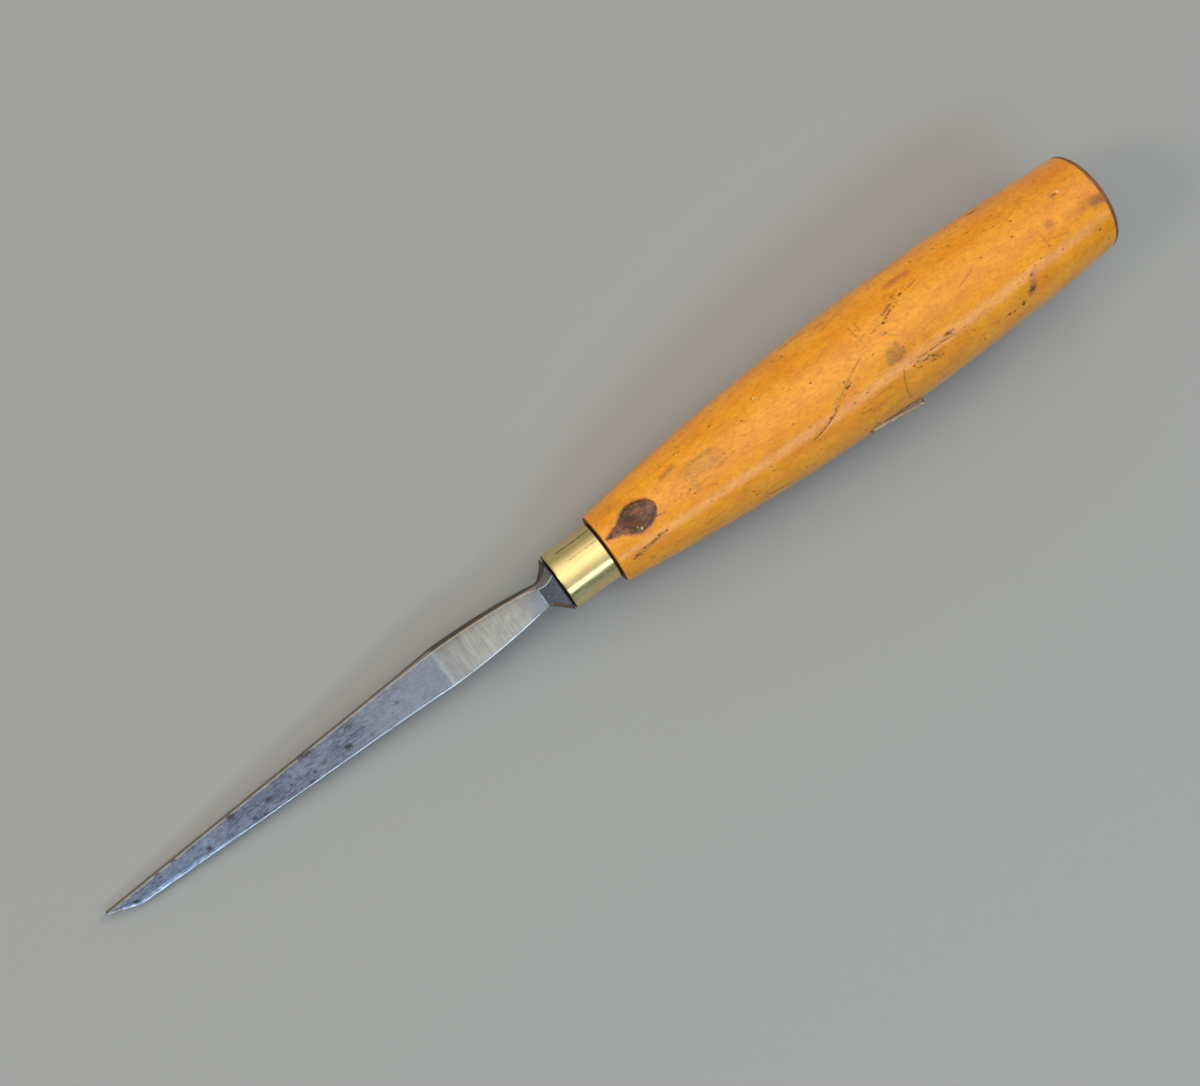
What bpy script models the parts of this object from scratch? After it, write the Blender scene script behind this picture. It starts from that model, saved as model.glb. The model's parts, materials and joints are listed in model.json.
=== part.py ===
"""Narrow wood-carving chisel lying on its side: forged blade and tang, brass ferrule, turned handle.

Tool axes: X runs along the tool to the cutting edge, Y is the blade's depth from flat back to bevel, and Z
its thickness. X = 0 is the front of the ferrule, where the bolster takes its seat. All three pieces hang on
one empty, which lays the tool on the bench: on the belly of its handle and on the corner of its bevel.
"""

import math

import bmesh
import bpy
import numpy as np
from mathutils import Euler

MM = 0.001

# Blade, from the front of the ferrule to the cutting edge
BLADE_LENGTH = 115.3 * MM
BLADE_DEPTH = 9.1 * MM
SWELL_STATION = 30.4 * MM
SHANK_THICKNESS = 4.0 * MM
NECK_DEPTH = 5.4 * MM
NECK_THICKNESS = 3.2 * MM
ARRIS = 0.25 * MM
NECK_CORNER = 0.85 * MM

# Ground front of the blade
GRIND_LENGTH = 16.0 * MM
FRONT_THICKNESS = 2.2 * MM
EDGE_WIDTH = 2.0 * MM
EDGE_OFFSET = 0.35 * MM
EDGE_LAND = 0.15 * MM
BEVEL_LENGTH = 6.9 * MM
HEEL_DEPTH = 3.4 * MM

# Bolster, a square collar with cut corners that flares out of the neck
BOLSTER_LENGTH = 4.1 * MM
BOLSTER_SQUARE = 10.9 * MM
BOLSTER_CORNER = 1.9 * MM
BOLSTER_FRONT_CORNER = 1.0 * MM
BOLSTER_RIM = 0.3 * MM
SIDE_FLARE_POWER = 1.06
BACK_FLARE_POWER = 1.7

# Tang, tapering square spike inside the handle
TANG_LENGTH = 58.0 * MM
TANG_ROOT = 5.6 * MM
TANG_POINT = 2.4 * MM
TANG_ARRIS = 0.3 * MM

# Ferrule
FERRULE_LENGTH = 11.8 * MM
FERRULE_DIAMETER = 13.6 * MM
FERRULE_WALL = 0.9 * MM
FERRULE_ROUND = 0.35 * MM

# Handle, from its shoulder to the butt
HANDLE_LENGTH = 131.0 * MM
SHOULDER_DIAMETER = 16.75 * MM
SHOULDER_ROUND = 0.3 * MM
BELLY_DIAMETER = 27.7 * MM
BELLY_STATION = 78.5 * MM
BUTT_DIAMETER = 23.6 * MM
BUTT_CROWN = 1.9 * MM
BUTT_LAND_DIAMETER = 10.0 * MM
SPIGOT_CHAMFER = 0.5 * MM

# Fits
FIT_GAP = 0.3 * MM
SHOULDER_GAP = 0.3 * MM

# Fineness of the curves
TURNING_STEPS = 64
FLARE_RINGS = 6
SHANK_RINGS = 9
GRIND_RINGS = 7
ROUND_POINTS = 4
CROWN_POINTS = 6
BARREL_POINTS = 26

# Places along the axis that several pieces share
SEAT = FIT_GAP
NECK = SEAT + BOLSTER_LENGTH
HEEL = BLADE_LENGTH - BEVEL_LENGTH
SHOULDER = -(FERRULE_LENGTH + SHOULDER_GAP)
BELLY = SHOULDER - BELLY_STATION
BUTT = SHOULDER - HANDLE_LENGTH
BORE_RADIUS = FERRULE_DIAMETER / 2 - FERRULE_WALL
SPIGOT_RADIUS = BORE_RADIUS - FIT_GAP


def blend(start, end, share):
    """The value that lies the given share of the way from start to end."""
    return start + (end - start) * share


def clear_scene():
    """Empties the scene that Blender starts with."""
    for obj in list(bpy.data.objects):
        bpy.data.objects.remove(obj, do_unlink=True)


def new_collection(name):
    """A collection of its own under the scene."""
    collection = bpy.data.collections.new(name)
    bpy.context.scene.collection.children.link(collection)
    return collection


def plain_finish(name, colour, roughness, metallic):
    """A material with one colour, roughness and metalness."""
    material = bpy.data.materials.new(name)
    material.use_nodes = True
    shader = material.node_tree.nodes["Principled BSDF"]
    shader.inputs["Base Color"].default_value = (*colour, 1.0)
    shader.inputs["Roughness"].default_value = roughness
    shader.inputs["Metallic"].default_value = metallic
    return material


def ring(station, back, front, thickness, back_corner, front_corner):
    """Eight points of a rectangle with cut corners, square to the axis at a station."""
    half = thickness / 2
    outline = [
        (back + back_corner, -half),
        (front - front_corner, -half),
        (front, front_corner - half),
        (front, half - front_corner),
        (front - front_corner, half),
        (back + back_corner, half),
        (back, half - back_corner),
        (back, back_corner - half),
    ]
    return [(station, depth, height) for depth, height in outline]


def square_ring(station, size, corner):
    """A square ring centred on the axis, with all its corners alike."""
    return ring(station, -size / 2, size / 2, size, corner, corner)


def tang_size(station):
    """Side of the tang's square at a station."""
    return blend(TANG_ROOT, TANG_POINT, (SEAT - station) / (SEAT + TANG_LENGTH))


def back_line(station):
    """Depth of the flat back, straight from the swell of the blade to its cutting edge."""
    return blend(-BLADE_DEPTH / 2, EDGE_OFFSET, (station - SWELL_STATION) / (BLADE_LENGTH - SWELL_STATION))


def belly_line(station):
    """Depth of the bevel side, straight from the swell of the blade to the heel of its bevel."""
    heel_depth = back_line(HEEL) + HEEL_DEPTH
    return blend(BLADE_DEPTH / 2, heel_depth, (station - SWELL_STATION) / (HEEL - SWELL_STATION))


def bolster_rim(station):
    """The bolster's square rim, whose back corners are cut further than its front ones."""
    half = BOLSTER_SQUARE / 2
    return ring(station, -half, half, BOLSTER_SQUARE, BOLSTER_CORNER, BOLSTER_FRONT_CORNER)


def flare_rings():
    """The bolster, from its rim down to the neck: nearly straight on three sides, a fillet on the back."""
    rings = []
    for share in np.linspace(0.0, 1.0, FLARE_RINGS + 1):
        station = blend(SEAT + BOLSTER_RIM, NECK, share)
        swell = (1.0 - share) ** SIDE_FLARE_POWER
        back = -blend(NECK_DEPTH, BOLSTER_SQUARE, (1.0 - share) ** BACK_FLARE_POWER) / 2
        front = blend(NECK_DEPTH, BOLSTER_SQUARE, swell) / 2
        thickness = blend(NECK_THICKNESS, BOLSTER_SQUARE, swell)
        back_corner = blend(NECK_CORNER, BOLSTER_CORNER, swell)
        front_corner = blend(ARRIS, BOLSTER_FRONT_CORNER, swell)
        rings.append(ring(station, back, front, thickness, back_corner, front_corner))
    return rings


def shank_rings():
    """The shank, swelling in an arc from the neck, where its back corners are cut further, to the blade."""
    rings = []
    for share in np.linspace(0.0, 1.0, SHANK_RINGS + 1)[1:]:
        fall = (1.0 - share) ** 2
        depth = blend(BLADE_DEPTH, NECK_DEPTH, fall)
        thickness = blend(SHANK_THICKNESS, NECK_THICKNESS, fall)
        back_corner = blend(ARRIS, NECK_CORNER, fall**4)
        station = blend(NECK, SWELL_STATION, share)
        rings.append(ring(station, -depth / 2, depth / 2, thickness, back_corner, ARRIS))
    return rings


def ground_rings():
    """The ground front: a hollow ramp to the thin blade, the straight taper, the bevel and its edge."""
    rings = []
    ramp_end = SWELL_STATION + GRIND_LENGTH
    for share in np.linspace(0.0, 1.0, GRIND_RINGS + 1)[1:]:
        station = blend(SWELL_STATION, ramp_end, share)
        thickness = blend(FRONT_THICKNESS, SHANK_THICKNESS, (1.0 - share) ** 2)
        rings.append(ring(station, back_line(station), belly_line(station), thickness, ARRIS, ARRIS))
    heel_thickness = blend(EDGE_WIDTH, FRONT_THICKNESS, BEVEL_LENGTH / (BLADE_LENGTH - ramp_end))
    rings.append(ring(HEEL, back_line(HEEL), belly_line(HEEL), heel_thickness, ARRIS, ARRIS))
    land_corner = min(ARRIS, EDGE_LAND / 3)
    edge_front = EDGE_OFFSET + EDGE_LAND
    rings.append(ring(BLADE_LENGTH, EDGE_OFFSET, edge_front, EDGE_WIDTH, land_corner, land_corner))
    return rings


def blade_rings():
    """Every section of the forging, from the tang's point to the cutting edge."""
    return [
        square_ring(-TANG_LENGTH, TANG_POINT, TANG_ARRIS),
        square_ring(SEAT, TANG_ROOT, TANG_ARRIS),
        bolster_rim(SEAT),
        *flare_rings(),
        *shank_rings(),
        *ground_rings(),
    ]


def socket_rings():
    """The burnt-in socket: the tang with a gap all round it, open at the spigot's face."""
    stations = (-TANG_LENGTH - FIT_GAP, SEAT)
    return [square_ring(station, tang_size(station) + 2 * FIT_GAP, TANG_ARRIS) for station in stations]


def loft(name, rings, collection):
    """A closed solid through rings with the same count of points, capped at both ends."""
    shape = bmesh.new()
    loops = [[shape.verts.new(point) for point in points] for points in rings]
    for near, far in zip(loops, loops[1:]):
        for here in range(len(near)):
            there = (here + 1) % len(near)
            shape.faces.new((near[here], near[there], far[there], far[here]))
    shape.faces.new(reversed(loops[0]))
    shape.faces.new(loops[-1])
    bmesh.ops.recalc_face_normals(shape, faces=shape.faces)
    mesh = bpy.data.meshes.new(name)
    shape.to_mesh(mesh)
    shape.free()
    obj = bpy.data.objects.new(name, mesh)
    collection.objects.link(obj)
    return obj


def turned(name, profile, closed, collection):
    """A profile of (station, radius) points, front to back on its outer side, spun round the axis."""
    mesh = bpy.data.meshes.new(name)
    count = len(profile)
    edges = [(here, (here + 1) % count) for here in range(count if closed else count - 1)]
    mesh.from_pydata([(radius, 0.0, station) for station, radius in profile], edges, [])
    obj = bpy.data.objects.new(name, mesh)
    collection.objects.link(obj)
    obj.rotation_euler = Euler((0.0, math.radians(90), 0.0))
    spin = obj.modifiers.new("Turning", "SCREW")
    spin.axis = "Z"
    spin.steps = TURNING_STEPS
    spin.render_steps = TURNING_STEPS
    spin.use_merge_vertices = True
    spin.merge_threshold = 0.01 * MM
    spin.use_smooth_shade = True
    return obj


def corner_arc(station, radius, along, across, start, end, count):
    """Points of an elliptic arc about a centre, by angle from the axis, with reaches along and across it."""
    angles = np.radians(np.linspace(start, end, count))
    return [(station + along * math.cos(angle), radius + across * math.sin(angle)) for angle in angles]


def barrel_radius(station):
    """Radius of the handle's swelling side: one arc ahead of the belly and one behind it."""
    if station > BELLY:
        share = (station - BELLY) / (SHOULDER - BELLY)
        return blend(BELLY_DIAMETER, SHOULDER_DIAMETER, share**2) / 2
    share = (BELLY - station) / (BELLY - BUTT - BUTT_CROWN)
    return blend(BELLY_DIAMETER, BUTT_DIAMETER, share**2) / 2


def handle_profile():
    """The turned outline, from the middle of the spigot's face round to the middle of the butt."""
    rim = SHOULDER - SHOULDER_ROUND
    crown = BUTT + BUTT_CROWN
    land = BUTT_LAND_DIAMETER / 2
    rim_centre = barrel_radius(rim) - SHOULDER_ROUND
    rim_arc = corner_arc(rim, rim_centre, SHOULDER_ROUND, SHOULDER_ROUND, 0, 90, ROUND_POINTS)
    barrel = [(station, barrel_radius(station)) for station in np.linspace(rim, crown, BARREL_POINTS)[1:-1]]
    crown_arc = corner_arc(crown, land, BUTT_CROWN, BUTT_DIAMETER / 2 - land, 90, 180, CROWN_POINTS)
    return [
        (0.0, 0.0),
        (0.0, SPIGOT_RADIUS - SPIGOT_CHAMFER),
        (-SPIGOT_CHAMFER, SPIGOT_RADIUS),
        (SHOULDER, SPIGOT_RADIUS),
        *rim_arc,
        *barrel,
        *crown_arc,
        (BUTT, 0.0),
    ]


def ferrule_profile():
    """The tube's wall: rounded lips outside, square ones inside."""
    outer = FERRULE_DIAMETER / 2
    rear = -FERRULE_LENGTH
    lip = FERRULE_ROUND
    return [
        *corner_arc(-lip, outer - lip, lip, lip, 0, 90, ROUND_POINTS),
        *corner_arc(rear + lip, outer - lip, lip, lip, 90, 180, ROUND_POINTS),
        (rear, BORE_RADIUS),
        (0.0, BORE_RADIUS),
    ]


def make_handle(parts, cutters):
    """The turned wooden handle, with its spigot and the tang's socket."""
    handle = turned("handle", handle_profile(), False, parts)
    socket = loft("tang_socket", socket_rings(), cutters)
    socket.hide_render = True
    socket.display_type = "WIRE"
    cut = handle.modifiers.new("Tang socket", "BOOLEAN")
    cut.operation = "DIFFERENCE"
    cut.solver = "EXACT"
    cut.object = socket
    handle.data.materials.append(plain_finish("Boxwood", (0.78, 0.36, 0.07), 0.42, 0.0))
    return handle, socket


def make_ferrule(parts):
    """The brass tube that keeps the spigot from splitting."""
    ferrule = turned("ferrule", ferrule_profile(), True, parts)
    ferrule.data.materials.append(plain_finish("Brass", (0.74, 0.55, 0.21), 0.3, 1.0))
    return ferrule


def make_blade(parts):
    """The forging: tang, bolster, shank and ground blade in one."""
    blade = loft("blade", blade_rings(), parts)
    blade.data.materials.append(plain_finish("Tool steel", (0.42, 0.42, 0.45), 0.38, 1.0))
    return blade


def rest_angles():
    """Pitch and roll of the tool on a bench, which it meets at the handle's arc, the edge and the heel.

    Along the axis the bench is a line of slope t below it. It touches the arc ahead of the belly, whose
    radius is R, and passes the edge's corner, a known depth below the axis:
    R/2 t^2 - L t + (belly radius - depth) = 0, with L the length from belly to edge.
    The roll then brings the heel's corner down to the same line.
    """
    arc_radius = BELLY_STATION**2 / (BELLY_DIAMETER - SHOULDER_DIAMETER)
    reach = BLADE_LENGTH - BELLY
    heel_rise = belly_line(HEEL) - EDGE_OFFSET
    roll = 0.0
    for _ in range(8):
        edge_depth = EDGE_WIDTH / 2 * math.cos(roll) + EDGE_OFFSET * math.sin(roll)
        drop = BELLY_DIAMETER / 2 - edge_depth
        slope = (reach - math.sqrt(reach**2 - 2 * arc_radius * drop)) / arc_radius
        roll = math.asin(BEVEL_LENGTH * slope / heel_rise)
    return math.atan(slope), roll


def world_points(obj):
    """Points of an object as modelled, in world space."""
    shown = obj.evaluated_get(bpy.context.evaluated_depsgraph_get())
    mesh = shown.to_mesh()
    points = np.empty(len(mesh.vertices) * 3)
    mesh.vertices.foreach_get("co", points)
    shown.to_mesh_clear()
    place = np.array(shown.matrix_world)
    return points.reshape(-1, 3) @ place[:3, :3].T + place[:3, 3]


def lay_on_bench(pieces, parts, collection):
    """Hangs every piece on one empty, turns it to its rest and stands its lowest point on the bench."""
    bench = bpy.data.objects.new("bench_rest", None)
    collection.objects.link(bench)
    for piece in pieces:
        piece.parent = bench
    pitch, roll = rest_angles()
    bench.rotation_euler = Euler((-roll, pitch, 0.0), "XYZ")
    bpy.context.view_layer.update()
    points = np.concatenate([world_points(part) for part in parts])
    low, high = points.min(axis=0), points.max(axis=0)
    bench.location = (-(low[0] + high[0]) / 2, -(low[1] + high[1]) / 2, -low[2])
    bpy.context.view_layer.update()


def main():
    """Builds the chisel and lays it on the bench."""
    clear_scene()
    parts = new_collection("carving_chisel")
    cutters = new_collection("carving_chisel_cutters")
    handle, socket = make_handle(parts, cutters)
    ferrule = make_ferrule(parts)
    blade = make_blade(parts)
    lay_on_bench((handle, socket, ferrule, blade), (handle, ferrule, blade), parts)


main()
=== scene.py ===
"""Dresses the carving chisel: a hand-worn wooden handle, a brass ferrule and a ground steel blade.

Shapes are worked out in the tool's own axes, in millimetres. X runs along the tool from the front of the
ferrule to the cutting edge, Y from the blade's flat back to its bevel, and Z is the blade's thickness.
Angles round the tool are in degrees from +Z towards +Y. Points are turned into the row frame, in metres,
when a mesh is written.
"""

from __future__ import annotations
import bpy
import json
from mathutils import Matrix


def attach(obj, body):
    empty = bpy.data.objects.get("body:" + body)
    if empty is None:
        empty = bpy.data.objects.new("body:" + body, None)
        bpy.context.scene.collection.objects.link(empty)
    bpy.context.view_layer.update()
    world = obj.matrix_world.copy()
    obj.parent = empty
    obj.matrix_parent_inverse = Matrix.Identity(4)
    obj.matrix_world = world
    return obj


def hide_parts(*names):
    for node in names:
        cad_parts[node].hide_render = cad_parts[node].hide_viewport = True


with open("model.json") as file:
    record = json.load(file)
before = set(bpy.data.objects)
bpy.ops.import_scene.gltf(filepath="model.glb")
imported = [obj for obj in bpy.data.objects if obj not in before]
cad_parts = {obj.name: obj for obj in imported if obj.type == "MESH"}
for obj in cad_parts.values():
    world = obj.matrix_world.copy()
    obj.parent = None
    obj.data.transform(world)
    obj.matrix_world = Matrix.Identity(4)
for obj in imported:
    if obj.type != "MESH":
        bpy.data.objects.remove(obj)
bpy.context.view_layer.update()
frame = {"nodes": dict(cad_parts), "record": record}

import json
import logging
import math
from abc import ABC, abstractmethod
from dataclasses import dataclass, field, fields
from enum import Enum
from functools import cached_property

import bpy
import numpy as np
from mathutils import Matrix

LOG = logging.getLogger("carving_chisel")
MM = 0.001
BODY = "root"
SHOULDER_GAP = 0.3

UP = np.array([0.0, 0.0, 1.0])

Array = np.ndarray
Pair = tuple[float, float]
Colour = tuple[float, float, float]
Socket = bpy.types.NodeSocket
Number = Socket | float
Paint = Socket | Colour
Value = Socket | float | tuple


def unit(vector: Array) -> Array:
    """The vector scaled to length one."""
    return vector / np.linalg.norm(vector)


def blend(start: Array | float, end: Array | float, share: Array | float) -> Array | float:
    """The value that lies the given share of the way from start to end."""
    return start + (end - start) * share


def share_between(low: float, high: float, value: Array) -> Array:
    """How far each value is on the way from low to high, held between 0 and 1."""
    return np.clip((value - low) / (high - low), 0.0, 1.0)


def smooth_step(low: float, high: float, value: Array) -> Array:
    """A soft rise from 0 at low to 1 at high: t squared times (3 - 2t), with t held between 0 and 1.

    Args:
        low: Value that gives 0, which may be the greater one.
        high: Value that gives 1.
        value: Values to look up.

    Returns:
        The height of the rise at each value.
    """
    t = share_between(low, high, value)
    return t * t * (3.0 - 2.0 * t)


def bell(value: Array, middle: Array | float, width: Array | float) -> Array:
    """A hump of height 1: e to the power of minus the square of the distance from its middle, in widths."""
    return np.exp(-(((value - middle) / width) ** 2))


def wrap_degrees(angle: Array) -> Array:
    """The same angle between -180 and 180 degrees."""
    return (angle + 180.0) % 360.0 - 180.0


def ripples(first: Array, second: Array, waves: tuple[Pair, ...], seed: int) -> Array:
    """A gentle random unevenness: a sum of cosines in several directions, over the root of their count.

    Args:
        first: First coordinate of each point.
        second: Second coordinate of each point.
        waves: For each wave, its turns per unit of the first and of the second coordinate.
        seed: Seed of the waves' phases.

    Returns:
        Heights mostly between -1 and 1, in the shape of the coordinates.
    """
    phases = np.random.default_rng(seed).uniform(0.0, 2.0 * math.pi, len(waves))
    turns = np.stack([first, second], axis=-1) @ np.array(waves).T
    return np.cos(2.0 * math.pi * turns + phases).sum(axis=-1) / math.sqrt(len(waves))


def node_points(node: str) -> Array:
    """Reads the corner points of a CAD node.

    Args:
        node: Name of the CAD node.

    Returns:
        One row per point, in metres in the row frame.
    """
    mesh = frame["nodes"][node].data
    points = np.empty(len(mesh.vertices) * 3)
    mesh.vertices.foreach_get("co", points)
    return points.reshape(-1, 3)


@dataclass(frozen=True)
class ToolAxes:
    """How the tool lies in the row frame.

    Attributes:
        origin: Middle of the ferrule's front, in metres.
        turn: Columns are the directions along the tool, across it and up from it.
    """

    origin: Array
    turn: Array

    @classmethod
    def from_frame(cls) -> ToolAxes:
        """Reads the axes from the mounts: the butt faces back along the tool, the flat back off the bevel.

        Returns:
            The axes, with the origin on the handle's axis at the front of the ferrule.
        """
        mounts = {mount["name"]: mount for mount in frame["record"]["mounts"]}
        along = unit(-np.array(mounts["butt_face"]["axis"]))
        across = -np.array(mounts["flat_back"]["axis"])
        across = unit(across - along * (across @ along))
        butt = np.array(mounts["butt_face"]["pos_m"])
        front = (node_points("ferrule") @ along).max()
        turn = np.stack([along, across, np.cross(along, across)], axis=1)
        return cls(butt + along * (front - butt @ along), turn)

    @property
    def level(self) -> Array:
        """Direction along the tool, laid level."""
        return unit(self.turn[:, 0] * (1.0 - UP))

    def place(self, points: Array) -> Array:
        """Points of the tool in millimetres, turned into the row frame in metres."""
        return self.origin + (points * MM) @ self.turn.T

    def reach(self, node: str) -> tuple[Array, Array]:
        """Lowest and highest coordinates of a CAD node along the tool's axes, in millimetres.

        Args:
            node: Name of the CAD node.

        Returns:
            The lowest and the highest corner.
        """
        points = (node_points(node) - self.origin) @ self.turn / MM
        return points.min(axis=0), points.max(axis=0)


def linked(name: str, data: bpy.types.ID) -> bpy.types.Object:
    """Makes an object and links it to the scene.

    Args:
        name: Name of the object.
        data: Its mesh, light or camera.

    Returns:
        The new object.
    """
    made = bpy.data.objects.new(name, data)
    bpy.context.scene.collection.objects.link(made)
    return made


def matrix_of(*columns: Array) -> Matrix:
    """The matrix whose columns are three directions and a place."""
    return Matrix(np.vstack([np.column_stack(columns), [0.0, 0.0, 0.0, 1.0]]).tolist())


def turned(station: Array, radius: Array, angle: Array) -> Array:
    """Points at stations along the tool, at a radius and an angle in radians round its axis."""
    return np.stack([station, radius * np.sin(angle), radius * np.cos(angle)], axis=-1)


def ring_quads(rows: int, columns: int, closed_rows: bool) -> Array:
    """Corner numbers of the quads of a grid whose columns close on themselves.

    Point (i, j) has the number i times columns plus j. A quad joins (i, j), (i, j+1), (i+1, j+1) and
    (i+1, j).

    Args:
        rows: Count of rings.
        columns: Count of points in each ring.
        closed_rows: Whether the last ring joins the first.

    Returns:
        One row of four numbers per quad.
    """
    row = np.arange(rows if closed_rows else rows - 1)[:, None]
    column = np.arange(columns)[None, :]
    below = (row + 1) % rows
    after = (column + 1) % columns
    here, next_ring = row * columns, below * columns
    corners = (here + column, here + after, next_ring + after, next_ring + column)
    return np.stack(np.broadcast_arrays(*corners), axis=-1).reshape(-1, 4)


@dataclass
class Surface:
    """A closed grid of points, ring after ring, with the layers that its finish reads.

    Attributes:
        name: Name of the piece.
        grid: Rings by points by coordinates, in millimetres in the tool's axes.
        layers: Numbers, or vectors, for each point of the grid.
        closed_rows: Whether the last ring joins the first, as on a tube. Otherwise both ends are capped.
        sharp_angle: Faces that meet at more degrees than this keep a crisp edge.
    """

    name: str
    grid: Array
    layers: dict[str, Array]
    closed_rows: bool = False
    sharp_angle: float = 30.0

    def to_object(self, axes: ToolAxes, material: bpy.types.Material) -> bpy.types.Object:
        """Writes the mesh and its layers and links the object to the scene.

        Args:
            axes: Where the tool lies.
            material: Finish of the piece.

        Returns:
            The new object, at the origin, with its place in its mesh.
        """
        rows, columns, _ = self.grid.shape
        faces = ring_quads(rows, columns, self.closed_rows).tolist()
        if not self.closed_rows:
            faces.append(list(range(columns - 1, -1, -1)))
            faces.append(list(range((rows - 1) * columns, rows * columns)))
        mesh = bpy.data.meshes.new(self.name)
        mesh.from_pydata(axes.place(self.grid.reshape(-1, 3)).tolist(), [], faces)
        for name, values in {"tool_space": self.grid, **self.layers}.items():
            vector = values.ndim == 3
            layer = mesh.attributes.new(name, "FLOAT_VECTOR" if vector else "FLOAT", "POINT")
            layer.data.foreach_set("vector" if vector else "value", values.astype(np.float32).ravel())
        mesh.shade_smooth()
        mesh.set_sharp_from_angle(angle=math.radians(self.sharp_angle))
        mesh.materials.append(material)
        mesh.validate()
        return linked(self.name, mesh)


class Finish(ABC):
    """How a surface looks."""

    @abstractmethod
    def build(self) -> bpy.types.Material:
        """Makes the material."""


class SubAssembly(ABC):
    """A part of the tool that is one surface with one finish.

    Attributes:
        finish: How it looks.
    """

    finish: Finish

    @abstractmethod
    def surface(self) -> Surface:
        """The shape with its painted layers."""

    @abstractmethod
    def claim(self, piece: bpy.types.Object) -> None:
        """Hides the CAD node that the piece takes the place of."""

    def build(self, axes: ToolAxes) -> bpy.types.Object:
        """Makes the piece, which rides on the tool's one body.

        Args:
            axes: Where the tool lies.

        Returns:
            The new object.
        """
        piece = self.surface().to_object(axes, self.finish.build())
        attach(piece, BODY)
        self.claim(piece)
        return piece


class Plan:
    """Lays out nodes in one node tree, with a short call for each kind."""

    MIX_A = 6
    MIX_B = 7
    MIX_RESULT = 2

    def __init__(self, tree: bpy.types.NodeTree) -> None:
        """Takes the tree that the nodes go into."""
        self.tree = tree

    def fill(self, socket: Socket, value: Value) -> None:
        """Links a socket to another, or sets it to a constant.

        Args:
            socket: Input to fill.
            value: Output to link from, or the constant.
        """
        if isinstance(value, Socket):
            self.tree.links.new(value, socket)
        else:
            socket.default_value = value

    def node(self, kind: str, inputs: dict[str | int, Value], **settings: object) -> bpy.types.Node:
        """Adds a node.

        Args:
            kind: Type of the node.
            inputs: What each input gets, by name or number.
            **settings: Properties of the node.

        Returns:
            The new node.
        """
        node = self.tree.nodes.new(kind)
        for name, value in settings.items():
            setattr(node, name, value)
        for key, value in inputs.items():
            self.fill(node.inputs[key], value)
        return node

    def layer(self, name: str) -> Socket:
        """A number painted on the piece."""
        return self.node("ShaderNodeAttribute", {}, attribute_name=name).outputs["Fac"]

    def vector_layer(self, name: str) -> Socket:
        """A vector painted on the piece."""
        return self.node("ShaderNodeAttribute", {}, attribute_name=name).outputs["Vector"]

    def maths(self, operation: str, first: Number, second: Number = 0.0) -> Socket:
        """One step of arithmetic."""
        return self.node("ShaderNodeMath", {0: first, 1: second}, operation=operation).outputs[0]

    def times(self, first: Number, second: Number) -> Socket:
        """The product of two numbers."""
        return self.maths("MULTIPLY", first, second)

    def plus(self, first: Number, second: Number) -> Socket:
        """The sum of two numbers."""
        return self.maths("ADD", first, second)

    def minus(self, first: Number, second: Number) -> Socket:
        """The first number less the second."""
        return self.maths("SUBTRACT", first, second)

    def greater(self, first: Number, second: Number) -> Socket:
        """The greater of two numbers."""
        return self.maths("MAXIMUM", first, second)

    def rise(self, value: Socket, low: Number, high: Number, least: float = 0.0, most: float = 1.0) -> Socket:
        """A smooth rise of a value.

        Args:
            value: Value to look up.
            low: Where the rise starts.
            high: Where it is complete.
            least: Result at low.
            most: Result at high.

        Returns:
            The risen value.
        """
        inputs = {"Value": value, "From Min": low, "From Max": high, "To Min": least, "To Max": most}
        return self.node("ShaderNodeMapRange", inputs, interpolation_type="SMOOTHSTEP").outputs[0]

    def mix(self, share: Number, first: Paint, second: Paint) -> Socket:
        """A colour that lies a share of the way from one to another.

        Args:
            share: How much of the second colour.
            first: First colour.
            second: Second colour.

        Returns:
            The mixed colour.
        """
        node = self.node("ShaderNodeMix", {0: share}, data_type="RGBA")
        for slot, colour in ((self.MIX_A, first), (self.MIX_B, second)):
            self.fill(node.inputs[slot], colour if isinstance(colour, Socket) else (*colour, 1.0))
        return node.outputs[self.MIX_RESULT]

    def coats(self, colour: Paint, layers: tuple[tuple[Socket, float, Paint], ...]) -> Socket:
        """Lays colours one after another over a first one.

        Args:
            colour: The first colour.
            layers: For each coat the mask of where it lies, how far it covers there, and its colour.

        Returns:
            The colour on top.
        """
        for mask, share, over in layers:
            colour = self.mix(self.times(mask, share), colour, over)
        return colour

    def stretch(self, vector: Socket, along: float, across: float) -> Socket:
        """Coordinates squeezed by one factor along the tool and another across it."""
        inputs = {0: vector, 1: (along, across, across)}
        return self.node("ShaderNodeVectorMath", inputs, operation="MULTIPLY").outputs[0]

    def noise(self, vector: Socket, scale: Number, detail: float = 2.0, roughness: float = 0.5) -> Socket:
        """Cloudy noise between 0 and 1."""
        inputs = {"Vector": vector, "Scale": scale, "Detail": detail, "Roughness": roughness}
        return self.node("ShaderNodeTexNoise", inputs).outputs[0]


class SharedGroup(Enum):
    """Surface effects that several finishes use."""

    STREAKS = "Drawn streaks"
    SPECKS = "Scattered specks"
    PATCH = "Broken patch"

    def tree(self) -> bpy.types.NodeTree:
        """The group's node tree, built the first time it is asked for."""
        return bpy.data.node_groups.get(self.value) or GROUP_BUILDERS[self]()


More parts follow.
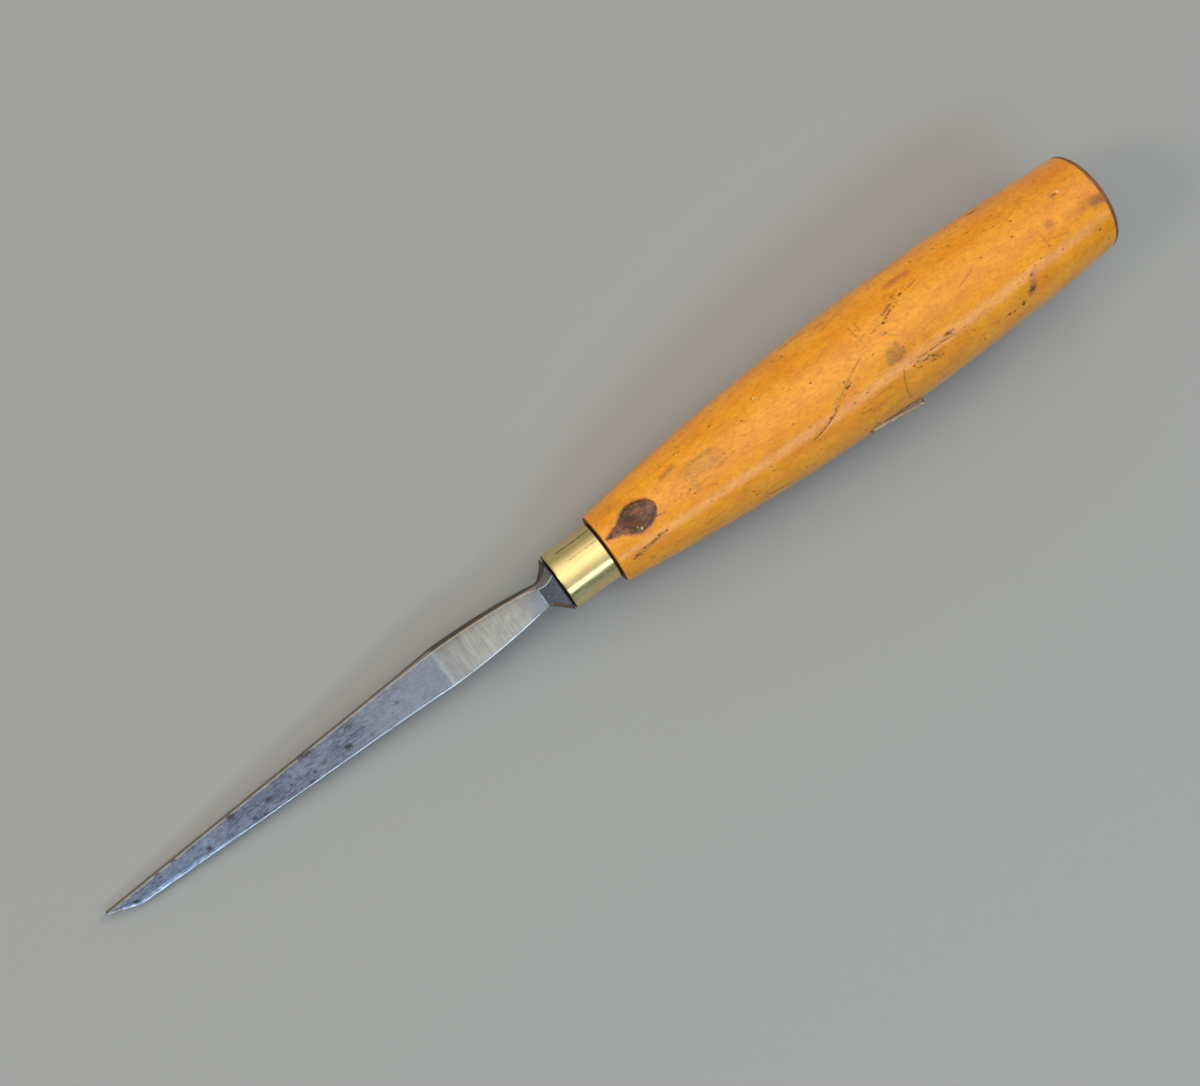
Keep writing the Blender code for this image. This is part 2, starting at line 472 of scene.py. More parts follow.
def open_group(effect: SharedGroup, numbers: tuple[str, ...]) -> tuple[Plan, dict[str, Socket], Socket]:
    """Starts a shared group with a vector and numbers as inputs and one number as output.

    Args:
        effect: Which group it is.
        numbers: Names of the number inputs.

    Returns:
        The plan, the inputs by name, and the output to fill.
    """
    tree = bpy.data.node_groups.new(effect.value, "ShaderNodeTree")
    tree.interface.new_socket("Vector", in_out="INPUT", socket_type="NodeSocketVector")
    for name in numbers:
        tree.interface.new_socket(name, in_out="INPUT", socket_type="NodeSocketFloat")
    tree.interface.new_socket("Mask", in_out="OUTPUT", socket_type="NodeSocketFloat")
    inputs = tree.nodes.new("NodeGroupInput").outputs
    output = tree.nodes.new("NodeGroupOutput").inputs[0]
    return Plan(tree), {name: inputs[name] for name in ("Vector", *numbers)}, output


def squeezed(plan: Plan, inputs: dict[str, Socket]) -> Socket:
    """Squeezes a group's vector by its Along and Across inputs.

    Args:
        plan: Plan of the group.
        inputs: Inputs of the group by name.

    Returns:
        The squeezed vector.
    """
    factors = {"X": inputs["Along"], "Y": inputs["Across"], "Z": inputs["Across"]}
    scale = plan.node("ShaderNodeCombineXYZ", factors).outputs[0]
    return plan.node("ShaderNodeVectorMath", {0: inputs["Vector"], 1: scale}, operation="MULTIPLY").outputs[0]


def streaks_group() -> bpy.types.NodeTree:
    """Fibres, draw lines or grinding lines: noise squeezed along or across the tool, cut by two levels.

    Returns:
        The group's tree.
    """
    plan, inputs, output = open_group(SharedGroup.STREAKS, ("Along", "Across", "Low", "High"))
    lines = plan.noise(squeezed(plan, inputs), 1.0, 3.0, 0.6)
    plan.fill(output, plan.rise(lines, inputs["Low"], inputs["High"]))
    return plan.tree


def specks_group() -> bpy.types.NodeTree:
    """Pores, pits or spots: one speck of random size in some of the cells of a squeezed cell pattern.

    Returns:
        The group's tree.
    """
    plan, inputs, output = open_group(SharedGroup.SPECKS, ("Along", "Across", "Size", "Share"))
    cells = plan.node("ShaderNodeTexVoronoi", {"Vector": squeezed(plan, inputs), "Scale": 1.0})
    chance = plan.node("ShaderNodeSeparateColor", {0: cells.outputs["Color"]})
    kept = plan.maths("LESS_THAN", chance.outputs[0], inputs["Share"])
    radius = plan.times(inputs["Size"], plan.rise(chance.outputs[1], 0.0, 1.0, 0.35, 1.0))
    speck = plan.rise(cells.outputs["Distance"], radius, plan.times(radius, 0.4))
    plan.fill(output, plan.times(kept, speck))
    return plan.tree


def patch_group() -> bpy.types.NodeTree:
    """Wear, dirt or tarnish: a soft painted mask whose edge is broken up by noise.

    Returns:
        The group's tree.
    """
    plan, inputs, output = open_group(SharedGroup.PATCH, ("Layer", "Scale", "Ragged", "Soft"))
    noise = plan.noise(inputs["Vector"], inputs["Scale"], 4.0, 0.65)
    shift = plan.times(plan.minus(noise, 0.5), inputs["Ragged"])
    ragged = plan.plus(inputs["Layer"], plan.times(shift, plan.rise(inputs["Layer"], 0.0, 0.3)))
    plan.fill(output, plan.rise(ragged, plan.minus(0.5, inputs["Soft"]), plan.plus(0.5, inputs["Soft"])))
    return plan.tree


GROUP_BUILDERS = {
    SharedGroup.STREAKS: streaks_group,
    SharedGroup.SPECKS: specks_group,
    SharedGroup.PATCH: patch_group,
}


class MaterialPlan(Plan):
    """Lays out the nodes of one material, with the effects that several finishes share."""

    def __init__(self, name: str) -> None:
        """Starts a material.

        Args:
            name: Name of the material.
        """
        self.material = bpy.data.materials.new(name)
        self.material.use_nodes = True
        super().__init__(self.material.node_tree)

    @cached_property
    def space(self) -> Socket:
        """Place on the tool, in millimetres."""
        return self.vector_layer("tool_space")

    def group(self, effect: SharedGroup, *inputs: Number) -> Socket:
        """Places a shared group, with its inputs in their order, and gives its one output."""
        return self.node("ShaderNodeGroup", dict(enumerate(inputs)), node_tree=effect.tree()).outputs[0]

    def streaks(self, vector: Socket, squeeze: Pair, levels: Pair) -> Socket:
        """Lines along or across the tool, by the squeeze each way and the levels they are cut at."""
        return self.group(SharedGroup.STREAKS, vector, *squeeze, *levels)

    def specks(self, vector: Socket, squeeze: Pair, size: float, share: float) -> Socket:
        """Specks of a greatest size in a share of the cells of a squeezed pattern."""
        return self.group(SharedGroup.SPECKS, vector, *squeeze, size, share)

    def patch(self, layer: str, scale: float, ragged: float, soft: float) -> Socket:
        """A painted layer whose edge is broken up by noise of a scale, by so much, and so softly."""
        return self.group(SharedGroup.PATCH, self.space, self.layer(layer), scale, ragged, soft)

    def cloud(self, vector: Socket, squeeze: Pair, texture: Pair, span: tuple[float, ...]) -> Socket:
        """Squeezed noise, by its detail and roughness, raised over a span."""
        return self.rise(self.noise(self.stretch(vector, *squeeze), 1.0, *texture), *span)

    def bump(self, height: Socket, strength: float, depth: float) -> Socket:
        """The normal of a surface with fine relief, of a depth in millimetres."""
        inputs = {"Strength": strength, "Distance": depth * MM, "Height": height}
        return self.node("ShaderNodeBump", inputs).outputs[0]

    def dressed(self, inputs: dict[str, Value]) -> bpy.types.Material:
        """Fills the inputs of the material's Principled BSDF.

        Args:
            inputs: What each input gets, by name.

        Returns:
            The material.
        """
        shader = self.tree.nodes["Principled BSDF"]
        for name, value in inputs.items():
            self.fill(shader.inputs[name], value)
        return self.material


@dataclass(frozen=True)
class WoodFinish(Finish):
    """Old waxed wood: amber to orange, with fibres, pores, a knot, hand dirt and the marks of use.

    Attributes:
        amber: Colour of the lighter wood.
        orange: Colour of the deeper wood.
        fibre: Colour of the dark fibres.
        pore: Colour of pores, cuts and dents, which hold dirt, and of the struck end.
        dirt: Colour of the grey hand dirt.
        stain: Colour of the reddish stains.
        chip: Colour of bare wood where a chip is gone.
        knot: Colour of the knot.
        heart: Colour of the dark places in the knot, the year rings, and the dark ring and painted shade at
            the joint with the ferrule.
        roughness: Roughness of the waxed wood.
    """

    amber: Colour = (0.92, 0.375, 0.008)
    orange: Colour = (0.80, 0.275, 0.003)
    fibre: Colour = (0.42, 0.115, 0.004)
    pore: Colour = (0.075, 0.026, 0.010)
    dirt: Colour = (0.105, 0.075, 0.034)
    stain: Colour = (0.33, 0.080, 0.020)
    chip: Colour = (0.74, 0.55, 0.32)
    knot: Colour = (0.200, 0.060, 0.019)
    heart: Colour = (0.012, 0.005, 0.004)
    roughness: float = 0.22

    TO_PITH = (0.0, 4.0, -5.0)
    RING_WANDER = 2.4
    RING_TURN = 4.4

    def build(self) -> bpy.types.Material:
        """Makes the material, which reads the layers painted on the handle.

        Returns:
            The material.
        """
        plan = MaterialPlan("Waxed wood")
        colour, fibres, pores = self.plain_wood(plan)
        colour, marks = self.marked(plan, self.weathered(plan, colour))
        gloss, haze = self.roughness - 0.03, self.roughness + 0.06
        sheen = plan.rise(plan.noise(plan.space, 0.5, 3.0), 0.3, 0.7, gloss, haze)
        matt = plan.times(marks, 0.3)
        for name, share in (("grime_and_shade", 0.5), ("knot_heart", 0.55), ("end_grain", 0.55)):
            matt = plan.greater(matt, plan.times(plan.layer(name), share))
        height = plan.times(plan.noise(plan.space, 1.1, 4.0, 0.65), 1.1)
        for lower, share in ((fibres, 0.10), (pores, 0.5), (marks, 1.0)):
            height = plan.minus(height, plan.times(lower, share))
        return plan.dressed({
            "Base Color": colour,
            "Roughness": plan.plus(sheen, matt),
            "Specular IOR Level": 0.58,
            "Normal": plan.bump(height, strength=0.5, depth=0.06),
        })

    def plain_wood(self, plan: MaterialPlan) -> tuple[Socket, Socket, Socket]:
        """The wood itself: slow mottling, faint year lines, flecks, long fibres and short dark pores.

        Args:
            plan: Plan of the material.

        Returns:
            The colour, the fibres and the pores.
        """
        grain = plan.vector_layer("grain_space")
        mottle = plan.cloud(plan.space, (0.10, 0.20), (5.0, 0.65), (0.33, 0.69))
        years = plan.streaks(grain, (0.014, 0.55), (0.45, 0.75))
        flecks = plan.cloud(grain, (0.8, 2.0), (5.0, 0.75), (0.44, 0.72))
        fibres = plan.streaks(grain, (0.35, 3.6), (0.46, 0.84))
        shade = plan.cloud(plan.space, (0.30, 0.55), (4.0, 0.6), (0.46, 0.74))
        dust = plan.cloud(grain, (2.0, 4.6), (3.0, 0.8), (0.46, 0.72))
        small = plan.specks(grain, (0.85, 1.9), size=0.24, share=0.42)
        pores = plan.specks(grain, (0.36, 0.80), size=0.20, share=0.40)
        colour = plan.coats(plan.mix(mottle, self.amber, self.orange), (
            (years, 0.06, self.fibre),
            (flecks, 0.58, self.fibre),
            (fibres, 0.34, self.fibre),
            (shade, 0.24, self.fibre),
            (dust, 0.36, self.fibre),
            (small, 0.42, self.pore),
            (pores, 0.85, self.pore),
        ))
        return colour, fibres, plan.greater(pores, small)

    def weathered(self, plan: MaterialPlan, colour: Socket) -> Socket:
        """Darkens the struck end, with its year rings, the joint with the ferrule, with its dark ring and
        painted shade, and the hand dirt.

        The year rings are the sine of the distance from the pith, which wanders a little.

        Args:
            plan: Plan of the material.
            colour: Colour of the wood.

        Returns:
            The darker colour.
        """
        section = plan.stretch(plan.space, 0.0, 1.0)
        pith = plan.node("ShaderNodeVectorMath", {0: section, 1: self.TO_PITH}).outputs[0]
        from_pith = plan.node("ShaderNodeVectorMath", {0: pith}, operation="LENGTH").outputs["Value"]
        wander = plan.times(plan.noise(section, 0.25, 3.0), self.RING_WANDER)
        rings = plan.maths("SINE", plan.times(plan.plus(from_pith, wander), self.RING_TURN))
        fibre_ends = plan.cloud(plan.space, (0.0, 1.5), (5.0, 0.75), (0.36, 0.66))
        struck = plan.coats(self.pore, (
            (fibre_ends, 0.32, self.stain),
            (plan.rise(rings, -0.2, 1.0), 0.5, self.heart),
        ))
        grit = plan.cloud(plan.space, (2.2, 3.6), (3.0, 0.7), (0.34, 0.64, 0.35, 1.0))
        dirt = plan.times(plan.patch("dirt", scale=2.8, ragged=1.3, soft=0.55), grit)
        return plan.coats(colour, (
            (plan.patch("end_grain", scale=0.9, ragged=0.5, soft=0.4), 0.9, struck),
            # The dark ring on the shoulder and the painted shade on the spigot, in the heart colour.
            (plan.patch("grime_and_shade", scale=1.3, ragged=0.8, soft=0.3), 0.9, self.heart),
            (plan.patch("stain", scale=0.7, ragged=1.1, soft=0.5), 0.60, self.stain),
            (dirt, 0.72, self.dirt),
        ))

    def marked(self, plan: MaterialPlan, colour: Socket) -> tuple[Socket, Socket]:
        """Draws the knot, the dents, the chips and the thin cuts.

        A cut's layer holds the distance across it, counted in half-widths, so its edge stays crisp between
        points.

        Args:
            plan: Plan of the material.
            colour: Colour of the wood.

        Returns:
            The colour, and how deep each place is marked.
        """
        swirl = plan.noise(plan.stretch(plan.vector_layer("knot_space"), 0.42, 0.75), 1.0, 5.0, 0.7)
        swirl.node.inputs["Distortion"].default_value = 1.4
        figure = plan.coats(plan.mix(plan.rise(swirl, 0.40, 0.56), self.heart, self.knot), (
            (plan.patch("knot_heart", scale=1.5, ragged=2.0, soft=0.22), 0.95, self.heart),
            (plan.patch("knot_rim", scale=1.0, ragged=0.8, soft=0.4), 0.85, self.heart),
        ))
        wobble = plan.times(plan.minus(plan.noise(plan.space, 1.9, 4.0, 0.7), 0.5), 2.4)
        across = plan.maths("ABSOLUTE", plan.plus(plan.layer("cut"), wobble))
        depth = plan.layer("cut_depth")
        worn = plan.rise(plan.noise(plan.space, 1.5, 3.0, 0.7), 0.38, 0.58, 0.12, 1.0)
        cuts = plan.times(plan.rise(across, 1.30, 0.35), plan.times(depth, worn))
        edge = plan.times(plan.rise(across, 3.4, 0.8), plan.times(depth, 0.25))
        soft = plan.greater(edge, plan.rise(plan.layer("dent"), 0.05, 0.6, 0.0, 0.6))
        marks = plan.greater(plan.patch("dent", scale=2.4, ragged=1.3, soft=0.28), cuts)
        colour = plan.coats(colour, (
            (plan.rise(plan.layer("knot"), 0.10, 0.50), 0.45, self.stain),
            (plan.patch("knot", scale=1.3, ragged=0.7, soft=0.16), 0.92, figure),
            (plan.patch("chip", scale=2.6, ragged=1.2, soft=0.25), 0.8, self.chip),
            (soft, 1.0, self.fibre),
            (marks, 0.9, self.pore),
        ))
        return colour, marks


@dataclass(frozen=True)
class TornFinish(Finish):
    """Torn wood: pale grey-beige with long fibres, a darker edge, and the old waxed skin on its outside.

    Attributes:
        pale: Colour of the torn wood.
        fibre: Colour between its fibres.
        skin: Colour of the waxed skin.
        roughness: Roughness of the torn wood.
        skin_gloss: How much less rough the skin is.
    """

    pale: Colour = (0.47, 0.365, 0.245)
    fibre: Colour = (0.15, 0.090, 0.050)
    skin: Colour = (0.70, 0.255, 0.010)
    roughness: float = 0.8
    skin_gloss: float = 0.45

    def build(self) -> bpy.types.Material:
        """Makes the material, with fibres along the splinter.

        Returns:
            The material.
        """
        plan = MaterialPlan("Torn wood")
        fibres = plan.streaks(plan.space, (0.16, 2.6), (0.40, 0.66))
        edge = plan.patch("edge", scale=2.0, ragged=0.8, soft=0.3)
        kept = plan.patch("skin", scale=1.6, ragged=1.0, soft=0.3)
        torn = plan.mix(plan.greater(plan.times(fibres, 0.7), edge), self.pale, self.fibre)
        waxed = plan.mix(plan.times(fibres, 0.5), self.skin, self.fibre)
        return plan.dressed({
            "Base Color": plan.mix(kept, torn, waxed),
            "Roughness": plan.rise(kept, 0.0, 1.0, self.roughness, self.roughness - self.skin_gloss),
            "Normal": plan.bump(fibres, strength=0.6, depth=0.03),
        })


@dataclass(frozen=True)
class BrassFinish(Finish):
    """Rubbed brass tube with lines along it, olive tarnish, dark ends at the joints and painted shade in the
    bore.

    Attributes:
        brass: Colour of the rubbed metal.
        tarnish: Colour where it is dulled.
        dirt: Colour of the dark spots, of the dark ends at the joints and of the painted shade in the bore.
        roughness: Roughness of the rubbed metal.
    """

    brass: Colour = (0.91, 0.715, 0.315)
    tarnish: Colour = (0.44, 0.32, 0.095)
    dirt: Colour = (0.055, 0.035, 0.012)
    roughness: float = 0.20

    def build(self) -> bpy.types.Material:
        """Makes the material, which reads the layers painted on the ferrule.

        Returns:
            The material.
        """
        plan = MaterialPlan("Rubbed brass")
        lines = plan.streaks(plan.space, (0.10, 2.6), (0.35, 0.75))
        rings = plan.streaks(plan.space, (5.0, 0.12), (0.40, 0.80))
        spots = plan.specks(plan.space, (0.8, 0.9), size=0.2, share=0.25)
        # Dark ends, dull streaks and the painted shade in the bore.
        grime_and_shade = plan.patch("grime_and_shade", scale=1.6, ragged=0.7, soft=0.25)
        colour = plan.coats(self.brass, (
            (plan.cloud(plan.space, (0.25, 0.5), (4.0, 0.5), (0.42, 0.75)), 0.22, self.tarnish),
            (lines, 0.15, self.tarnish),
            (plan.patch("tarnish", scale=0.8, ragged=0.8, soft=0.4), 0.8, self.tarnish),
            (spots, 0.55, self.dirt),
            (grime_and_shade, 0.9, self.dirt),
        ))
        rough = plan.plus(plan.times(lines, 0.10), self.roughness)
        height = plan.minus(plan.plus(lines, plan.times(rings, 0.25)), spots)
        return plan.dressed({
            "Base Color": colour,
            "Roughness": plan.plus(rough, plan.times(grime_and_shade, 0.35)),
            "Metallic": 1.0,
            "Normal": plan.bump(height, strength=0.2, depth=0.012),
        })


@dataclass(frozen=True)
class SteelFinish(Finish):
    """Ground tool steel: violet-grey front, shank with lines across it, dark forged bolster and brown back.

    Attributes:
        front: Colour of the ground front.
        tip: Colour of its bluer end.
        shade: Colour of its darker clouds.
        shank: Colour of the shank, ground across.
        line: Colour of the shank's grinding lines.
        forged: Colour of the forged bolster and the tang.
        brown: Colour of the oxidised back and of rust.
        cream: Colour of the worn edge along the back, brightened as a painted highlight, and of the painted
            highlight on the back face's upper half.
        bare: Colour of steel rubbed bright along the other edges, and of the painted highlights near the
            edge, at the neck and on the bolster's corners.
        pit: Colour of the pits, and of the dark crease, the darker back and the painted shade at the
            bolster's seat.
        zone_start: Where the shank's grinding ends, in millimetres from the ferrule.
        neck: Where the bolster starts, in millimetres from the ferrule.
        roughness: Roughness of the ground front.
    """

    front: Colour = (0.272, 0.270, 0.300)
    tip: Colour = (0.288, 0.314, 0.404)
    shade: Colour = (0.062, 0.072, 0.108)
    shank: Colour = (0.605, 0.525, 0.430)
    line: Colour = (0.200, 0.200, 0.210)
    forged: Colour = (0.335, 0.362, 0.450)
    brown: Colour = (0.125, 0.088, 0.050)
    cream: Colour = (0.600, 0.530, 0.410)
    bare: Colour = (0.680, 0.725, 0.800)
    pit: Colour = (0.026, 0.025, 0.034)
    zone_start: float = 30.6
    neck: float = 4.4
    roughness: float = 0.34

    def build(self) -> bpy.types.Material:
        """Makes the material, which reads the layers painted on the blade.

        Returns:
            The material.
        """
        plan = MaterialPlan("Ground steel")
        colour, lines = self.ground_steel(plan)
        colour, brown = self.oxidised(plan, colour)
        colour, worn = self.worn(plan, colour)
        dull = plan.greater(brown, worn)
        gloss, cloudy = self.roughness - 0.05, self.roughness + 0.07
        haze = plan.rise(plan.noise(plan.space, 0.6, 4.0), 0.3, 0.7, gloss, cloudy)
        rough = plan.plus(plan.times(dull, 0.28), haze)
        height = plan.minus(lines, plan.times(dull, 1.2))
        return plan.dressed({
            "Base Color": colour,
            "Roughness": plan.minus(rough, plan.times(plan.layer("arris"), 0.14)),
            "Metallic": plan.rise(dull, 0.0, 1.0, 1.0, 0.35),
            "Normal": plan.bump(height, strength=0.45, depth=0.02),
        })

    def ground_steel(self, plan: MaterialPlan) -> tuple[Socket, Socket]:
        """The ground sides: a clouded front with lines along it, and a paler shank with lines across it.

        Args:
            plan: Plan of the material.

        Returns:
            The colour, and the height of the grinding lines.
        """
        space, start = plan.space, self.zone_start
        station = plan.node("ShaderNodeSeparateXYZ", {0: space}).outputs[0]
        reach = plan.plus(station, plan.times(plan.minus(plan.noise(space, 1.2, 3.0), 0.5), 1.1))
        behind = plan.rise(reach, start + 0.4, start - 0.4)
        polish = plan.streaks(space, (0.25, 6.0), (0.34, 0.76))
        grinding = plan.streaks(space, (4.6, 0.10), (0.34, 0.68))
        broad = plan.noise(plan.stretch(space, 0.16, 0.30), 1.0, 5.0, 0.68)
        fine = plan.noise(plan.stretch(space, 0.9, 3.2), 1.0, 5.0, 0.72)
        clouds = plan.plus(plan.times(broad, 0.42), plan.times(fine, 0.58))
        clouds = plan.plus(clouds, plan.rise(station, start + 6.0, start + 30.0, 0.0, 0.10))
        front = plan.coats(self.front, (
            (plan.rise(station, start + 25.0, start + 75.0), 1.0, self.tip),
            (plan.rise(clouds, 0.46, 0.74), 1.0, self.shade),
            (polish, 0.16, self.bare),
            (plan.times(grinding, plan.rise(station, start + 22.0, start)), 0.10, self.shank),
        ))
        seam = plan.maths("ABSOLUTE", plan.minus(reach, start - 0.6))
        ground = plan.coats(self.shank, (
            (grinding, 0.50, self.line),
            (plan.rise(fine, 0.52, 0.72), 0.28, self.shade),
            (plan.rise(broad, 0.42, 0.66), 0.10, self.brown),
            (plan.rise(station, self.neck + 7.0, self.neck), 0.80, self.front),
            (plan.rise(station, start - 12.0, start - 1.0), 0.36, self.line),
            (plan.layer("tint"), 1.0, self.brown),
            (plan.rise(seam, 1.0, 0.2), 0.16, self.bare),
        ))
        lines = plan.plus(plan.times(grinding, behind), plan.times(plan.plus(polish, fine), 0.3))
        return plan.mix(behind, front, ground), lines

    def oxidised(self, plan: MaterialPlan, colour: Socket) -> tuple[Socket, Socket]:
        """The forged bolster and tang, the brown back and the rust.

        Args:
            plan: Plan of the material.
            colour: Colour of the ground steel.

        Returns:
            The colour, and how far each place is oxidised.
        """
        forged = plan.coats(self.forged, (
            (plan.rise(plan.noise(plan.space, 1.5, 5.0, 0.7), 0.40, 0.74), 0.7, self.pit),
            (plan.cloud(plan.space, (1.2, 3.0), (4.0, 0.7), (0.56, 0.70)), 0.7, self.bare),
        ))
        rust = plan.times(plan.patch("rust", scale=1.3, ragged=1.3, soft=0.35), 0.7)
        brown = plan.greater(plan.rise(plan.layer("back"), 0.35, 0.75), rust)
        uneven = plan.cloud(plan.space, (0.5, 1.2), (4.0, 0.65), (0.35, 0.75))
        oxide = plan.mix(plan.times(uneven, 0.5), self.brown, self.pit)
        colour = plan.mix(plan.layer("forged"), colour, forged)
        return plan.mix(brown, colour, oxide), brown

    def worn(self, plan: MaterialPlan, colour: Socket) -> tuple[Socket, Socket]:
        """The rubbed edges and the painted highlights, the pits, and the dark crease, darker back and painted
        shade at the seat.

        Args:
            plan: Plan of the material.
            colour: Colour of the steel.

        Returns:
            The colour, and how dull each place is.
        """
        specks = plan.specks(plan.space, (1.0, 1.3), size=0.30, share=0.30)
        specks = plan.times(plan.times(specks, plan.layer("specked")), 0.6)
        pits = plan.times(plan.patch("pit", scale=1.7, ragged=1.3, soft=0.3), 0.85)
        pits = plan.greater(pits, specks)
        # The dark crease, the darker back and the painted shade at the bolster's seat, in the pit colour.
        crease = plan.times(plan.patch("grime_and_shade", scale=1.4, ragged=0.6, soft=0.3), 0.9)
        colour = plan.coats(colour, (
            # Cream on the worn back corner and the painted highlight on the back face.
            (plan.patch("back_wear_and_highlight", scale=0.9, ragged=0.6, soft=0.3), 0.70, self.cream),
            # Bare steel on the rubbed corners, and the painted highlights.
            (plan.patch("arris", scale=0.9, ragged=0.6, soft=0.3), 0.9, self.bare),
            (pits, 1.0, self.pit),
            (crease, 1.0, self.pit),
        ))
        return colour, plan.greater(pits, crease)


class MarkKind(Enum):
    """What use has left on the wood, by the layer that it is painted into."""

    CUT = "cut"
    DENT = "dent"
    DIRT = "dirt"
    STAIN = "stain"
    CHIP = "chip"


@dataclass(frozen=True)
class Mark:
    """One mark on the handle, from one place to another.

    Attributes:
        kind: What sort of mark it is.
        start: Millimetres from the shoulder, and degrees round the handle.
        end: The same for its other end.
        width: Breadth of the mark in millimetres.
        strength: How plain it is, up to 1.
        bend: How far its middle bows out, in millimetres.
    """

    kind: MarkKind
    start: Pair
    end: Pair
    width: float
    strength: float = 1.0
    bend: float = 0.0


def spot(kind: MarkKind, station: float, angle: float, width: float, strength: float = 1.0) -> Mark:
    """A round mark of the given width at one place."""
    return Mark(kind, (station, angle), (station, angle), width, strength)


